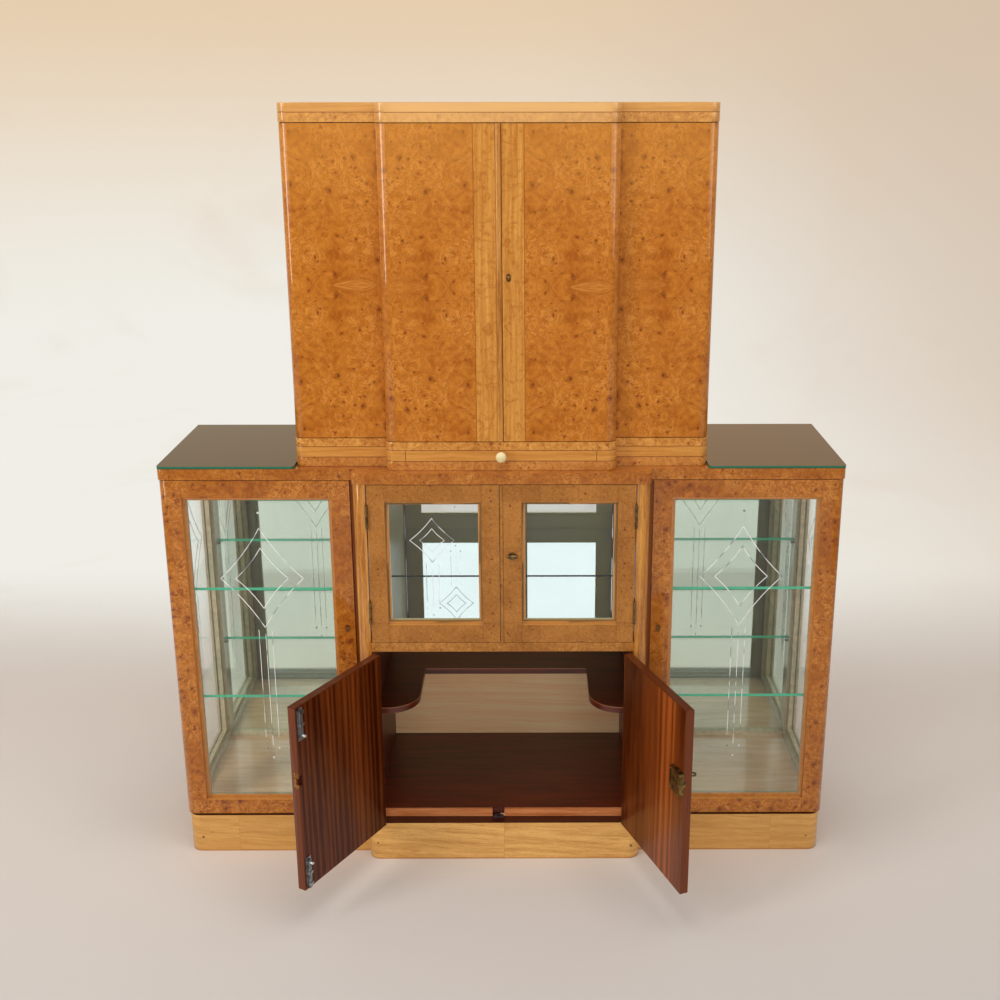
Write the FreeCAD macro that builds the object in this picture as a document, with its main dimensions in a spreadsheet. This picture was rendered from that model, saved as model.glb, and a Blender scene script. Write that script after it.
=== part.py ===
import FreeCAD, Part
import os
import re
import Sketcher
from FreeCAD import Rotation, Vector

# Bar cabinet in millimetres. +Z is up and the front faces -Y.
# The origin is on the floor, in the middle of the width and of the side bays' depth.

os.makedirs("parts", exist_ok=True)
doc = FreeCAD.newDocument("bar_cabinet")
sheet = doc.addObject("Spreadsheet::Sheet", "sizes")

# Independent sizes

SIZES = {
    # whole cabinet
    "overall_height": 1660,
    "carcass_depth": 352,
    "carcass_half_width": 728,
    "lower_top_level": 918.5,
    "lower_top_thickness": 24,
    "top_overhang": 1,
    "top_corner_radius": 12,
    # breakfront of the lower case
    "break_half_width": 313.5,
    "break_projection": 34,
    "opening_half_width": 284.7,
    "post_radius": 20,
    "post_depth": 40,
    "partition_thickness": 37.3,
    # plinth
    "plinth_height": 93,
    "plinth_board": 30,
    "plinth_corner_radius": 25,
    "plinth_end_inset": 4,
    "plinth_projection": 5,
    "plinth_break_inset": 5.5,
    "centre_bearer_width": 18,
    "side_bearer_width": 50,
    # boards, panels and glass
    "floor_thickness": 18,
    "back_thickness": 6,
    "mirror_thickness": 4,
    "pane_thickness": 4,
    "shelf_thickness": 6,
    "fit_gap": 0.3,
    "running_clearance": 0.05,
    # rounded leaves on hidden pivots
    "leaf_thickness": 24,
    "leaf_radius": 18,
    "leaf_back_gap": 0.5,
    "cove_gap": 0.55,
    "pivot_gap": 1.5,
    "pivot_plate_thickness": 1.1,
    "pivot_plate_length": 20,
    "pivot_plate_width": 9,
    "pivot_pin_radius": 3,
    "pivot_pin_length": 10,
    "pivot_bore_spare": 1,
    # vitrine doors
    "vitrine_edge_gap": 1,
    "vitrine_inner_stile": 40,
    "vitrine_outer_stile": 47,
    "vitrine_top_rail": 39,
    "vitrine_bottom_rail": 35.5,
    "vitrine_key_inset": 17,
    "vitrine_key_level": 554,
    "pane_setback": 8,
    "door_bead": 8,
    # glazed vitrine sides
    "side_thickness": 28,
    "side_front_stile": 35.5,
    "side_rear_stile": 26,
    "side_bottom_rail": 37,
    "side_top_rail": 40.5,
    "outer_bead_depth": 6,
    "outer_bead_width": 8,
    "inner_bead": 10,
    # shelves
    "upper_shelf_level": 640,
    "lower_shelf_level": 381,
    "shelf_front_setback": 26.3,
    "shelf_pin_radius": 2.5,
    "shelf_pin_length": 8,
    "pin_front_setback": 38,
    "pin_rear_setback": 17,
    # glazed centre doors
    "glazed_thickness": 20,
    "glazed_edge_gap": 2,
    "glazed_bottom_level": 535.5,
    "glazed_inner_stile": 38.3,
    "glazed_outer_stile": 36.7,
    "glazed_top_rail": 37.5,
    "glazed_bottom_rail": 41.5,
    "glazed_pane_setback": 6,
    "meeting_bead_half": 3.7,
    "meeting_bead_proud": 1.5,
    "meeting_bead_depth": 20,
    "meeting_bead_radius": 3,
    "meeting_gap": 1.4,
    "glazed_hinge_low": 581,
    "glazed_hinge_high": 798.5,
    # turn latch of the glazed doors
    "latch_offset": 22.5,
    "latch_level": 735,
    "rosette_radius": 8.5,
    "rosette_thickness": 1.2,
    "spindle_radius": 2.2,
    "latch_grip_stand": 7,
    "latch_grip_half": 13,
    "latch_grip_height": 4,
    "latch_grip_depth": 2.5,
    "tongue_length": 34,
    "tongue_width": 7,
    "tongue_thickness": 2.5,
    # centre rail and glazed compartment
    "rail_bottom_level": 513.6,
    "rail_top_level": 534.5,
    "rail_depth": 19.5,
    "compartment_board": 19.5,
    "floor_mirror_thickness": 6,
    # butt hinges
    "hinge_height": 50,
    "knuckle_radius": 3,
    "knuckle_count": 5,
    "knuckle_gap": 0.3,
    "knuckle_proud": 0.1,
    "hinge_pin_radius": 1.5,
    "hinge_plate": 0.9,
    "hinge_plate_width": 17,
    "hinge_plate_start": 3.3,
    "hinge_tab_start": 1.8,
    "hinge_head_radius": 2.3,
    "hinge_head_height": 1.5,
    # cupboard doors, shown open
    "cupboard_thickness": 18.5,
    "cupboard_bottom_level": 94.5,
    "cupboard_top_level": 512,
    "cupboard_meeting_half": 0.8,
    "cupboard_hinge_inset": 40,
    "left_open_angle": 119.8,
    "right_open_angle": 111.5,
    # slide bolts
    "bolt_offset": 270,
    "bolt_plate_width": 16,
    "bolt_plate_length": 68,
    "bolt_plate_thickness": 1.5,
    "bolt_plate_inset": 7,
    "bolt_width": 8,
    "bolt_depth": 4,
    "bolt_end_inset": 3,
    "bolt_length": 66,
    "bolt_knob_inset": 63,
    "bolt_knob_radius": 3,
    "bolt_knob_length": 8,
    "guide_wall": 2.1,
    "guide_height": 6,
    "guide_first_inset": 10,
    "guide_second_inset": 36,
    "guide_cap": 1.4,
    "keeper_length": 22,
    "keeper_width": 12,
    "keeper_thickness": 1.2,
    "socket_depth": 8,
    "notch_length": 27,
    "notch_depth": 12,
    # lock of the cupboard
    "lock_width": 43,
    "lock_height": 50,
    "lock_depth": 10,
    "lock_wall": 2.4,
    "lock_level": 349,
    "key_offset": 252,
    "lock_bolt_length": 20,
    "lock_bolt_height": 12,
    "lock_bolt_depth": 5.3,
    "strike_height": 22,
    "strike_length": 10,
    "key_radius": 1.9,
    "key_inner_reach": 6,
    "key_bow_radius": 8,
    "key_bow_hole": 4.6,
    "key_bow_thickness": 2.2,
    "key_outer_reach": 26,
    "key_collar_radius": 3,
    "key_collar_length": 2,
    "key_bit_length": 4,
    "key_bit_width": 5.5,
    # keyhole plates
    "plate_radius": 4.5,
    "plate_straight": 7,
    "plate_thickness": 0.8,
    "keyhole_radius": 2.2,
    "keyhole_rise": 2,
    "keyhole_slot": 1.6,
    "keyhole_length": 7,
    # cupboard inside
    "lipping_thickness": 6,
    "cupboard_floor_setback": 23,
    "half_shelf_level": 345,
    "half_shelf_thickness": 15,
    "half_shelf_wing_setback": 67,
    "half_shelf_recess_setback": 269,
    "half_shelf_recess_half": 195,
    "half_shelf_radius": 70,
    "cleat_size": 12,
    "cleat_front_gap": 25,
    # mirror-glass tops
    "glass_top_thickness": 5.5,
    "glass_top_gap": 1,
    "glass_top_radius": 10,
    # upper case
    "upper_half_width": 436,
    "upper_setback": 20.7,
    "upper_break_half": 241,
    "upper_break_projection": 33.3,
    "upper_step_radius": 20,
    "band_overhang": 1,
    "upper_base_thickness": 20.5,
    "slide_band_height": 23,
    "upper_floor_thickness": 18,
    "frieze_thickness": 19,
    "upper_top_thickness": 18,
    "upper_side_thickness": 18,
    "astragal_left": 7,
    "astragal_right": 5,
    "astragal_proud": 3,
    "astragal_radius": 5,
    "astragal_gap": 0.8,
    "upper_key_offset": 18,
    "upper_key_level": 1322,
    "bar_shelf_level": 1303,
    "bar_shelf_setback": 45.5,
    "bar_pin_front_inset": 30,
    "bar_pin_rear_inset": 25,
    # mixing slide
    "slide_half_width": 199.7,
    "slide_side_gap": 0.8,
    "slide_front_thickness": 12,
    "slide_depth": 330,
    "slide_rear_gap": 4.6,
    "slide_back_block": 30,
    "knob_radius": 11.5,
    "knob_half_depth": 8,
    "knob_neck_radius": 5.5,
    "knob_stand": 20,
    "knob_spigot_radius": 3,
    "knob_spigot_length": 8,
}

# Sizes that follow from the ones above

DERIVED = {
    "front": "-carcass_depth / 2",
    "back": "carcass_depth / 2",
    "inner_back": "back - back_thickness",
    "mirror_face": "inner_back - mirror_thickness",
    "centre_front": "front - break_projection",
    "lower_top_bottom": "lower_top_level - lower_top_thickness",
    "floor_level": "plinth_height + floor_thickness",
    "partition_outer": "opening_half_width + partition_thickness",
    "side_inner": "carcass_half_width - side_thickness",
    "pivot_across": "carcass_half_width - leaf_radius",
    "pivot_back": "front + leaf_radius",
    "leaf_behind_pivot": "leaf_thickness - leaf_radius",
    "cove_radius": "sqrt(leaf_radius * leaf_radius + leaf_behind_pivot * leaf_behind_pivot)"
                   " + cove_gap",
    "vitrine_inner_edge": "partition_outer + vitrine_edge_gap",
    "vitrine_low": "plinth_height + pivot_gap",
    "vitrine_high": "lower_top_bottom - pivot_gap",
    "vitrine_pane_left": "vitrine_inner_edge + vitrine_inner_stile",
    "vitrine_pane_right": "carcass_half_width - vitrine_outer_stile",
    "vitrine_pane_low": "vitrine_low + vitrine_bottom_rail",
    "vitrine_pane_high": "vitrine_high - vitrine_top_rail",
    "vitrine_back": "front + leaf_thickness",
    "side_front": "vitrine_back + leaf_back_gap",
    "side_pane_front": "side_front + side_front_stile",
    "side_pane_back": "inner_back - side_rear_stile",
    "side_pane_low": "plinth_height + side_bottom_rail",
    "side_pane_high": "lower_top_bottom - side_top_rail",
    "side_pane_outer": "carcass_half_width - outer_bead_depth",
    "side_pane_inner": "side_pane_outer - pane_thickness",
    "plinth_half": "carcass_half_width - plinth_end_inset",
    "plinth_front": "front - plinth_projection",
    "plinth_centre_front": "centre_front - plinth_projection",
    "plinth_break": "break_half_width - plinth_break_inset",
    "partition_middle": "(opening_half_width + partition_outer) / 2",
    "bearer_inner": "partition_middle - side_bearer_width / 2",
    "bearer_outer": "partition_middle + side_bearer_width / 2",
    "shelf_front": "front + shelf_front_setback",
    "pin_front": "front + pin_front_setback",
    "pin_rear": "back - pin_rear_setback - shelf_pin_radius",
    "glazed_high": "lower_top_bottom - pivot_gap",
    "glazed_back": "centre_front + glazed_thickness",
    "glazed_outer": "opening_half_width - glazed_edge_gap",
    "glazed_pane_low": "glazed_bottom_level + glazed_bottom_rail",
    "glazed_pane_high": "glazed_high - glazed_top_rail",
    "glazed_pane_inner": "meeting_bead_half + glazed_inner_stile",
    "glazed_pane_outer": "glazed_outer - glazed_outer_stile",
    "hinge_across": "opening_half_width - glazed_edge_gap / 2",
    "hinge_back": "centre_front - knuckle_radius - knuckle_proud",
    "hinge_pitch": "hinge_height / knuckle_count",
    "leaf_face": "knuckle_radius + knuckle_proud",
    "cupboard_hinge_edge": "glazed_edge_gap / 2",
    "cupboard_free_edge": "hinge_across - cupboard_meeting_half",
    "cupboard_inner_face": "leaf_face + cupboard_thickness",
    "cupboard_hinge_low": "cupboard_bottom_level + cupboard_hinge_inset",
    "cupboard_hinge_high": "cupboard_top_level - cupboard_hinge_inset - hinge_height",
    "bolt_plate_face": "cupboard_inner_face + bolt_plate_thickness",
    "bolt_near": "bolt_plate_face + fit_gap",
    "bolt_far": "bolt_near + bolt_depth",
    "bolt_across": "bolt_offset - hinge_across",
    "guide_inner": "bolt_width / 2 + fit_gap",
    "guide_outer": "guide_inner + guide_wall",
    "bolt_closed_near": "hinge_back + bolt_near",
    "bolt_closed_far": "hinge_back + bolt_far",
    "rail_back": "centre_front + rail_depth",
    "compartment_low": "glazed_bottom_level - compartment_board",
    "compartment_mirror_top": "glazed_bottom_level + floor_mirror_thickness",
    "cupboard_floor_front": "centre_front + cupboard_floor_setback",
    "lipping_back": "cupboard_floor_front + lipping_thickness",
    "lock_bolt_near": "cupboard_inner_face - fit_gap - lock_bolt_depth",
    "lock_bolt_low": "lock_level - lock_bolt_height / 2",
    "half_shelf_low": "half_shelf_level - half_shelf_thickness",
    "half_shelf_wing": "centre_front + half_shelf_wing_setback",
    "half_shelf_recess": "centre_front + half_shelf_recess_setback",
    "upper_front": "front + upper_setback",
    "upper_centre_front": "upper_front - upper_break_projection",
    "slide_low": "lower_top_level + upper_base_thickness",
    "slide_high": "slide_low + slide_band_height",
    "upper_floor_level": "slide_high + upper_floor_thickness",
    "upper_top_low": "overall_height - upper_top_thickness",
    "frieze_low": "upper_top_low - frieze_thickness",
    "upper_leaf_low": "upper_floor_level + pivot_gap",
    "upper_leaf_high": "frieze_low - pivot_gap",
    "upper_pivot_across": "upper_half_width - leaf_radius",
    "upper_pivot_back": "upper_front + leaf_radius",
    "upper_leaf_back": "upper_front + leaf_thickness",
    "upper_leaf_centre_back": "upper_centre_front + leaf_thickness",
    "upper_side_inner": "upper_half_width - upper_side_thickness",
    "upper_side_front": "upper_leaf_back + leaf_back_gap",
    "bar_shelf_front": "upper_leaf_back + bar_shelf_setback",
    "slide_channel": "slide_half_width + slide_side_gap",
    "slide_middle": "(slide_low + slide_high) / 2",
    "slide_front_back": "upper_centre_front + slide_front_thickness",
    "slide_back": "upper_centre_front + slide_depth",
    "housing_back": "slide_back + slide_rear_gap + slide_back_block",
    "cheek_back": "max(back; housing_back)",
}

row = 1
for name, value in SIZES.items():
    sheet.set("A%d" % row, name)
    sheet.set("B%d" % row, str(value))
    sheet.setAlias("B%d" % row, name)
    row += 1
for name, formula in DERIVED.items():
    sheet.set("A%d" % row, name)
    sheet.set("B%d" % row, "=" + formula)
    sheet.setAlias("B%d" % row, name)
    row += 1
doc.recompute()

NAMES = set(SIZES) | set(DERIVED)
NODES = {}


def bound(text):
    """An expression whose size names point to the sheet."""
    return re.sub(
        r"[a-z_]+",
        lambda word: "sizes." + word.group(0) if word.group(0) in NAMES else word.group(0),
        str(text),
    )


def bind(obj, prop, text):
    obj.setExpression(prop, bound(text))


def negative(text):
    return "-(%s)" % text


def add(kind, name):
    return doc.addObject(kind, name)


def node(obj, label):
    """Marks an object as one of the written parts."""
    obj.Label = label
    NODES[label] = obj
    return obj


# Solid builders

def box(name, across, along, up):
    """A box between two expressions on each axis."""
    solid = add("Part::Box", name)
    for prop, place, (low, high) in (
        ("Length", "x", across),
        ("Width", "y", along),
        ("Height", "z", up),
    ):
        bind(solid, prop, "(%s) - (%s)" % (high, low))
        bind(solid, "Placement.Base." + place, low)
    return solid


def mirrored(side, across):
    """The same range on the right (1) or left (-1) of the middle."""
    if side > 0:
        return across
    return (negative(across[1]), negative(across[0]))


def side_box(name, side, across, along, up):
    return box(name, mirrored(side, across), along, up)


TURNS = {
    "x": Rotation(Vector(0, 1, 0), 90),
    "y": Rotation(Vector(1, 0, 0), -90),
    "z": Rotation(),
}


def rod(name, axis, radius, start, length):
    """A cylinder from a start point along +X, +Y or +Z."""
    solid = add("Part::Cylinder", name)
    solid.Placement.Rotation = TURNS[axis]
    bind(solid, "Radius", radius)
    bind(solid, "Height", length)
    for place, value in zip("xyz", start):
        bind(solid, "Placement.Base." + place, value)
    return solid


def fuse(name, members):
    solid = add("Part::MultiFuse", name)
    solid.Shapes = members
    solid.Refine = True
    return solid


def group(name, members):
    solids = add("Part::Compound", name)
    solids.Links = members
    return solids


def cut(name, base, tools):
    solid = add("Part::Cut", name)
    solid.Base = base
    solid.Tool = tools[0] if len(tools) == 1 else group(name + "_tools", tools)
    return solid


SAME_PLACE = 0.001


def origin_plane(body, role):
    for feature in body.Origin.OriginFeatures:
        if feature.Role == role:
            return feature


def upright_edge(shape, point):
    """The name of the upright edge over a plan point."""
    for number, edge in enumerate(shape.Edges, 1):
        ends = [vertex.Point for vertex in edge.Vertexes]
        if len(ends) != 2 or abs(ends[0].z - ends[1].z) < SAME_PLACE:
            continue
        if all((Vector(end.x, end.y, 0) - point).Length < SAME_PLACE for end in ends):
            return "Edge%d" % number
    raise RuntimeError("no upright edge")


def prism(name, corners, low, high, rounds):
    """A pad of a closed outline; rounds maps a radius to corner numbers."""
    body = add("PartDesign::Body", name)
    sketch = body.newObject("Sketcher::SketchObject", name + "_outline")
    sketch.AttachmentSupport = (origin_plane(body, "XY_Plane"), [""])
    sketch.MapMode = "FlatFace"
    bind(sketch, "AttachmentOffset.Base.z", low)
    count = len(corners)
    probe = [
        Vector(sheet.evalExpression(bound(x)), sheet.evalExpression(bound(y)), 0)
        for x, y in corners
    ]
    for index in range(count):
        sketch.addGeometry(
            Part.LineSegment(probe[index], probe[(index + 1) % count]), False
        )
    for index in range(count):
        sketch.addConstraint(
            Sketcher.Constraint("Coincident", index, 2, (index + 1) % count, 1)
        )
    for index, (x, y) in enumerate(corners):
        for kind, value, text in (
            ("DistanceX", probe[index].x, x),
            ("DistanceY", probe[index].y, y),
        ):
            number = sketch.addConstraint(
                Sketcher.Constraint(kind, -1, 1, index, 1, value)
            )
            sketch.setExpression("Constraints[%d]" % number, bound(text))
    pad = body.newObject("PartDesign::Pad", name + "_pad")
    pad.Profile = sketch
    bind(pad, "Length", "(%s) - (%s)" % (high, low))
    doc.recompute()
    last = pad
    for radius, numbers in rounds.items():
        rounded = body.newObject("PartDesign::Fillet", name + "_round")
        edges = [upright_edge(last.Shape, probe[number]) for number in numbers]
        rounded.Base = (last, edges)
        bind(rounded, "Radius", radius)
        doc.recompute()
        last = rounded
    body.Tip = last
    return body


def placed(name, source, base, turn=None, axis=Vector(0, 0, 1)):
    """A copy of a source at a bound position, turned by a bound angle."""
    copy = group(name, [source])
    copy.Placement.Rotation = Rotation(axis, 1)
    for place, value in zip("xyz", base):
        bind(copy, "Placement.Base." + place, value)
    copy.setExpression("Placement.Rotation.Angle", bound(turn) if turn else "0 deg")
    return copy


def ring_of_beads(name, normal, across, up, depth, width):
    """Two level and two upright beads round a pane."""
    low_strip = (up[0], "(%s) + %s" % (up[0], width))
    high_strip = ("(%s) - %s" % (up[1], width), up[1])
    between = (low_strip[1], high_strip[0])
    left_strip = (across[0], "(%s) + %s" % (across[0], width))
    right_strip = ("(%s) - %s" % (across[1], width), across[1])
    beads = []
    for tag, run, rise in (
        ("bottom", across, low_strip),
        ("top", across, high_strip),
        ("near", left_strip, between),
        ("far", right_strip, between),
    ):
        if normal == "y":
            beads.append(box("%s_%s" % (name, tag), run, depth, rise))
        else:
            beads.append(box("%s_%s" % (name, tag), depth, run, rise))
    return beads


SIDES = ((1, "right"), (-1, "left"))

# Plinth

SOCKET_ACROSS = ("bolt_across - guide_inner", "bolt_across + guide_inner")
centre_board = prism(
    "plinth_centre_blank",
    [
        ("-plinth_break", "plinth_centre_front"),
        ("plinth_break", "plinth_centre_front"),
        ("plinth_break", "plinth_centre_front + plinth_board"),
        ("-plinth_break", "plinth_centre_front + plinth_board"),
    ],
    "0",
    "plinth_height",
    {"plinth_corner_radius": [0, 1]},
)
bottom_socket = box(
    "bottom_bolt_socket",
    SOCKET_ACROSS,
    ("bolt_closed_near - fit_gap", "plinth_centre_front + plinth_board"),
    ("plinth_height - socket_depth", "plinth_height"),
)
plinth_members = [
    cut("plinth_centre_board", centre_board, [bottom_socket]),
    box(
        "plinth_back_board",
        ("-plinth_half", "plinth_half"),
        ("back - plinth_board", "back"),
        ("0", "plinth_height"),
    ),
]
for side, word in SIDES:
    plinth_members.append(
        side_box(
            "plinth_return_" + word,
            side,
            ("plinth_break - plinth_board", "plinth_break"),
            ("plinth_centre_front + plinth_board", "plinth_front + plinth_board"),
            ("0", "plinth_height"),
        )
    )
    inner, outer = mirrored(side, ("plinth_break", "plinth_half"))
    plinth_members.append(
        prism(
            "plinth_side_board_" + word,
            [
                (inner, "plinth_front"),
                (outer, "plinth_front"),
                (outer, "plinth_front + plinth_board"),
                (inner, "plinth_front + plinth_board"),
            ],
            "0",
            "plinth_height",
            {"plinth_corner_radius": [1 if side > 0 else 0]},
        )
    )
    plinth_members.append(
        side_box(
            "plinth_end_" + word,
            side,
            ("plinth_half - plinth_board", "plinth_half"),
            ("plinth_front + plinth_board", "back - plinth_board"),
            ("0", "plinth_height"),
        )
    )
node(group("plinth_group", plinth_members), "plinth")
bearers = [
    box(
        "centre_bearer",
        ("-centre_bearer_width / 2", "centre_bearer_width / 2"),
        ("plinth_centre_front + plinth_board", "back - plinth_board"),
        ("0", "plinth_height"),
    )
]
for side, word in SIDES:
    bearers.append(
        side_box(
            "side_bearer_" + word,
            side,
            ("bearer_inner", "bearer_outer"),
            ("plinth_front + plinth_board", "back - plinth_board"),
            ("0", "plinth_height"),
        )
    )
node(group("plinth_bearer_group", bearers), "plinth_bearers")

# Lower case: floors, partitions, posts and back

notch = box(
    "floor_notch",
    ("bolt_across - notch_length / 2", "bolt_across + notch_length / 2"),
    ("cupboard_floor_front", "cupboard_floor_front + notch_depth"),
    ("plinth_height", "floor_level"),
)
floor_board = box(
    "cupboard_floor_board",
    ("-opening_half_width", "opening_half_width"),
    ("lipping_back", "inner_back"),
    ("plinth_height", "floor_level"),
)
node(cut("cupboard_floor_cut", floor_board, [notch]), "cupboard_floor")
lipping = box(
    "cupboard_lipping_strip",
    ("-opening_half_width", "opening_half_width"),
    ("cupboard_floor_front", "lipping_back"),
    ("plinth_height", "floor_level"),
)
node(cut("cupboard_lipping_cut", lipping, [notch]), "cupboard_floor_lipping")

vitrine_floors = []
partitions = []
posts = []
for side, word in SIDES:
    vitrine_floors.append(
        side_box(
            "vitrine_floor_" + word,
            side,
            ("partition_outer", "side_inner"),
            ("side_front", "inner_back"),
            ("plinth_height", "floor_level"),
        )
    )
    partitions.append(
        side_box(
            "partition_" + word,
            side,
            ("opening_half_width", "partition_outer"),
            ("centre_front + post_depth", "inner_back"),
            ("plinth_height", "lower_top_bottom"),
        )
    )
    inner, outer = mirrored(side, ("opening_half_width", "break_half_width"))
    posts.append(
        prism(
            "centre_post_" + word,
            [
                (inner, "centre_front"),
                (outer, "centre_front"),
                (outer, "centre_front + post_depth"),
                (inner, "centre_front + post_depth"),
            ],
            "plinth_height",
            "lower_top_bottom",
            {"post_radius": [1 if side > 0 else 0]},
        )
    )
node(group("vitrine_floor_group", vitrine_floors), "vitrine_floors")
node(group("partition_group", partitions), "partitions")
node(group("centre_post_group", posts), "centre_posts")

back_panels = [
    box(
        "centre_back_panel",
        ("-partition_middle", "partition_middle"),
        ("inner_back", "back"),
        ("plinth_height", "lower_top_bottom"),
    ),
    box(
        "upper_back_panel",
        ("-upper_half_width", "upper_half_width"),
        ("inner_back", "back"),
        ("upper_floor_level", "frieze_low"),
    ),
]
for side, word in SIDES:
    back_panels.append(
        side_box(
            "vitrine_back_panel_" + word,
            side,
            ("partition_middle", "carcass_half_width"),
            ("inner_back", "back"),
            ("plinth_height", "lower_top_bottom"),
        )
    )
node(group("back_panel_group", back_panels), "back_panels")

# Glazed sides of the vitrines

side_frames = []
side_panes = []
glazing_beads = []
for side, word in SIDES:
    stile = side_box(
        "side_front_stile_" + word,
        side,
        ("side_inner", "carcass_half_width"),
        ("side_front", "side_pane_front"),
        ("plinth_height", "lower_top_bottom"),
    )
    cove = rod(
        "side_cove_" + word,
        "z",
        "cove_radius",
        ("pivot_across" if side > 0 else "-pivot_across", "pivot_back", "plinth_height"),
        "lower_top_bottom - plinth_height",
    )
    side_frames.append(cut("coved_stile_" + word, stile, [cove]))
    side_frames.append(
        side_box(
            "side_rear_stile_" + word,
            side,
            ("side_inner", "carcass_half_width"),
            ("side_pane_back", "inner_back"),
            ("plinth_height", "lower_top_bottom"),
        )
    )
    for tag, rise in (
        ("bottom", ("plinth_height", "side_pane_low")),
        ("top", ("side_pane_high", "lower_top_bottom")),
    ):
        side_frames.append(
            side_box(
                "side_%s_rail_%s" % (tag, word),
                side,
                ("side_inner", "carcass_half_width"),
                ("side_pane_front", "side_pane_back"),
                rise,
            )
        )
    side_panes.append(
        side_box(
            "side_pane_" + word,
            side,
            ("side_pane_inner", "side_pane_outer"),
            ("side_pane_front + fit_gap", "side_pane_back - fit_gap"),
            ("side_pane_low", "side_pane_high - fit_gap"),
        )
    )
    run = ("side_pane_front", "side_pane_back")
    rise = ("side_pane_low", "side_pane_high")
    glazing_beads += ring_of_beads(
        "outer_bead_" + word,
        "x",
        run,
        rise,
        mirrored(side, ("side_pane_outer", "carcass_half_width")),
        "outer_bead_width",
    )
    glazing_beads += ring_of_beads(
        "inner_bead_" + word,
        "x",
        run,
        rise,
        mirrored(side, ("side_pane_inner - inner_bead", "side_pane_inner")),
        "inner_bead",
    )
    glazing_beads.append(
        side_box(
            "back_bead_" + word,
            side,
            ("partition_outer", "side_inner"),
            ("mirror_face - inner_bead", "mirror_face"),
            ("floor_level", "floor_level + inner_bead"),
        )
    )
node(group("side_frame_group", side_frames), "side_frames")
node(group("side_pane_group", side_panes), "side_glass")
node(group("glazing_bead_group", glazing_beads), "glazing_beads")

# Mirrors

mirrors = [
    box(
        "compartment_back_mirror",
        ("fit_gap - opening_half_width", "opening_half_width - fit_gap"),
        ("mirror_face", "inner_back"),
        ("glazed_bottom_level", "lower_top_bottom - fit_gap"),
    ),
    box(
        "compartment_floor_mirror",
        ("fit_gap - opening_half_width", "opening_half_width - fit_gap"),
        ("glazed_back + fit_gap", "mirror_face"),
        ("glazed_bottom_level", "compartment_mirror_top"),
    ),
    box(
        "bar_mirror",
        ("fit_gap - upper_side_inner", "upper_side_inner - fit_gap"),
        ("mirror_face", "inner_back"),
        ("upper_floor_level", "frieze_low - fit_gap"),
    ),
]
for side, word in SIDES:
    mirrors.append(
        side_box(
            "vitrine_mirror_" + word,
            side,
            ("partition_outer + fit_gap", "side_inner - fit_gap"),
            ("mirror_face", "inner_back"),
            ("floor_level", "lower_top_bottom - fit_gap"),
        )
    )
node(group("mirror_group", mirrors), "mirrors")

# Glass shelves and their pins

shelves = [
    box(
        "bar_shelf",
        ("fit_gap - upper_side_inner", "upper_side_inner - fit_gap"),
        ("bar_shelf_front", "mirror_face - fit_gap"),
        ("bar_shelf_level - shelf_thickness", "bar_shelf_level"),
    )
]
pins = []
for side, word in SIDES:
    for level in ("upper_shelf_level", "lower_shelf_level"):
        tag = "%s_%s" % (level[:5], word)
        shelves.append(
            side_box(
                "glass_shelf_" + tag,
                side,
                ("partition_outer + fit_gap", "side_inner - fit_gap"),
                ("shelf_front", "mirror_face - fit_gap"),
                (level + " - shelf_thickness", level),
            )
        )
        centre = level + " - shelf_thickness - shelf_pin_radius"
        for place, start in (
            ("inner", "partition_outer"),
            ("outer", "side_inner - shelf_pin_length"),
        ):
            left, right = mirrored(side, (start, start + " + shelf_pin_length"))
            for depth in ("pin_front", "pin_rear"):
                pins.append(
                    rod(
                        "shelf_pin_%s_%s_%s" % (tag, place, depth),
                        "x",
                        "shelf_pin_radius",
                        (left, depth, centre),
                        "shelf_pin_length",
                    )
                )
    start = "upper_side_inner - shelf_pin_length"
    left, right = mirrored(side, (start, "upper_side_inner"))
    for tag, depth in (
        ("front", "bar_shelf_front + bar_pin_front_inset"),
        ("rear", "mirror_face - bar_pin_rear_inset"),
    ):
        pins.append(
            rod(
                "bar_shelf_pin_%s_%s" % (tag, word),
                "x",
                "shelf_pin_radius",
                (left, depth, "bar_shelf_level - shelf_thickness - shelf_pin_radius"),
                "shelf_pin_length",
            )
        )
node(group("glass_shelf_group", shelves), "glass_shelves")
node(group("shelf_pin_group", pins), "shelf_pins")

# Centre rail, glazed compartment floor and cupboard shelf

node(
    box(
        "centre_rail_board",
        ("-opening_half_width", "opening_half_width"),
        ("centre_front", "rail_back"),
        ("rail_bottom_level", "rail_top_level"),
    ),
    "centre_rail",
)
compartment_board = box(
    "compartment_board_blank",
    ("-opening_half_width", "opening_half_width"),
    ("rail_back", "inner_back"),
    ("compartment_low", "glazed_bottom_level"),
)
top_socket = box(
    "top_bolt_socket",
    SOCKET_ACROSS,
    ("rail_back", "bolt_closed_far + fit_gap"),
    ("compartment_low", "compartment_low + socket_depth"),
)
node(cut("compartment_floor_cut", compartment_board, [top_socket]), "compartment_floor")

half_width = "opening_half_width - fit_gap"
node(
    prism(
        "half_shelf",
        [
            (negative(half_width), "half_shelf_wing"),
            ("-half_shelf_recess_half", "half_shelf_wing"),
            ("-half_shelf_recess_half", "half_shelf_recess"),
            ("half_shelf_recess_half", "half_shelf_recess"),
            ("half_shelf_recess_half", "half_shelf_wing"),
            (half_width, "half_shelf_wing"),
            (half_width, "inner_back - fit_gap"),
            (negative(half_width), "inner_back - fit_gap"),
        ],
        "half_shelf_low",
        "half_shelf_level",
        {"half_shelf_radius": [1, 4]},
    ),
    "cupboard_shelf",
)
cleats = []
for side, word in SIDES:
    cleats.append(
        side_box(
            "shelf_cleat_" + word,
            side,
            ("opening_half_width - cleat_size", "opening_half_width"),
            ("half_shelf_wing + cleat_front_gap", "inner_back"),
            ("half_shelf_low - cleat_size", "half_shelf_low"),
        )
    )
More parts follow.
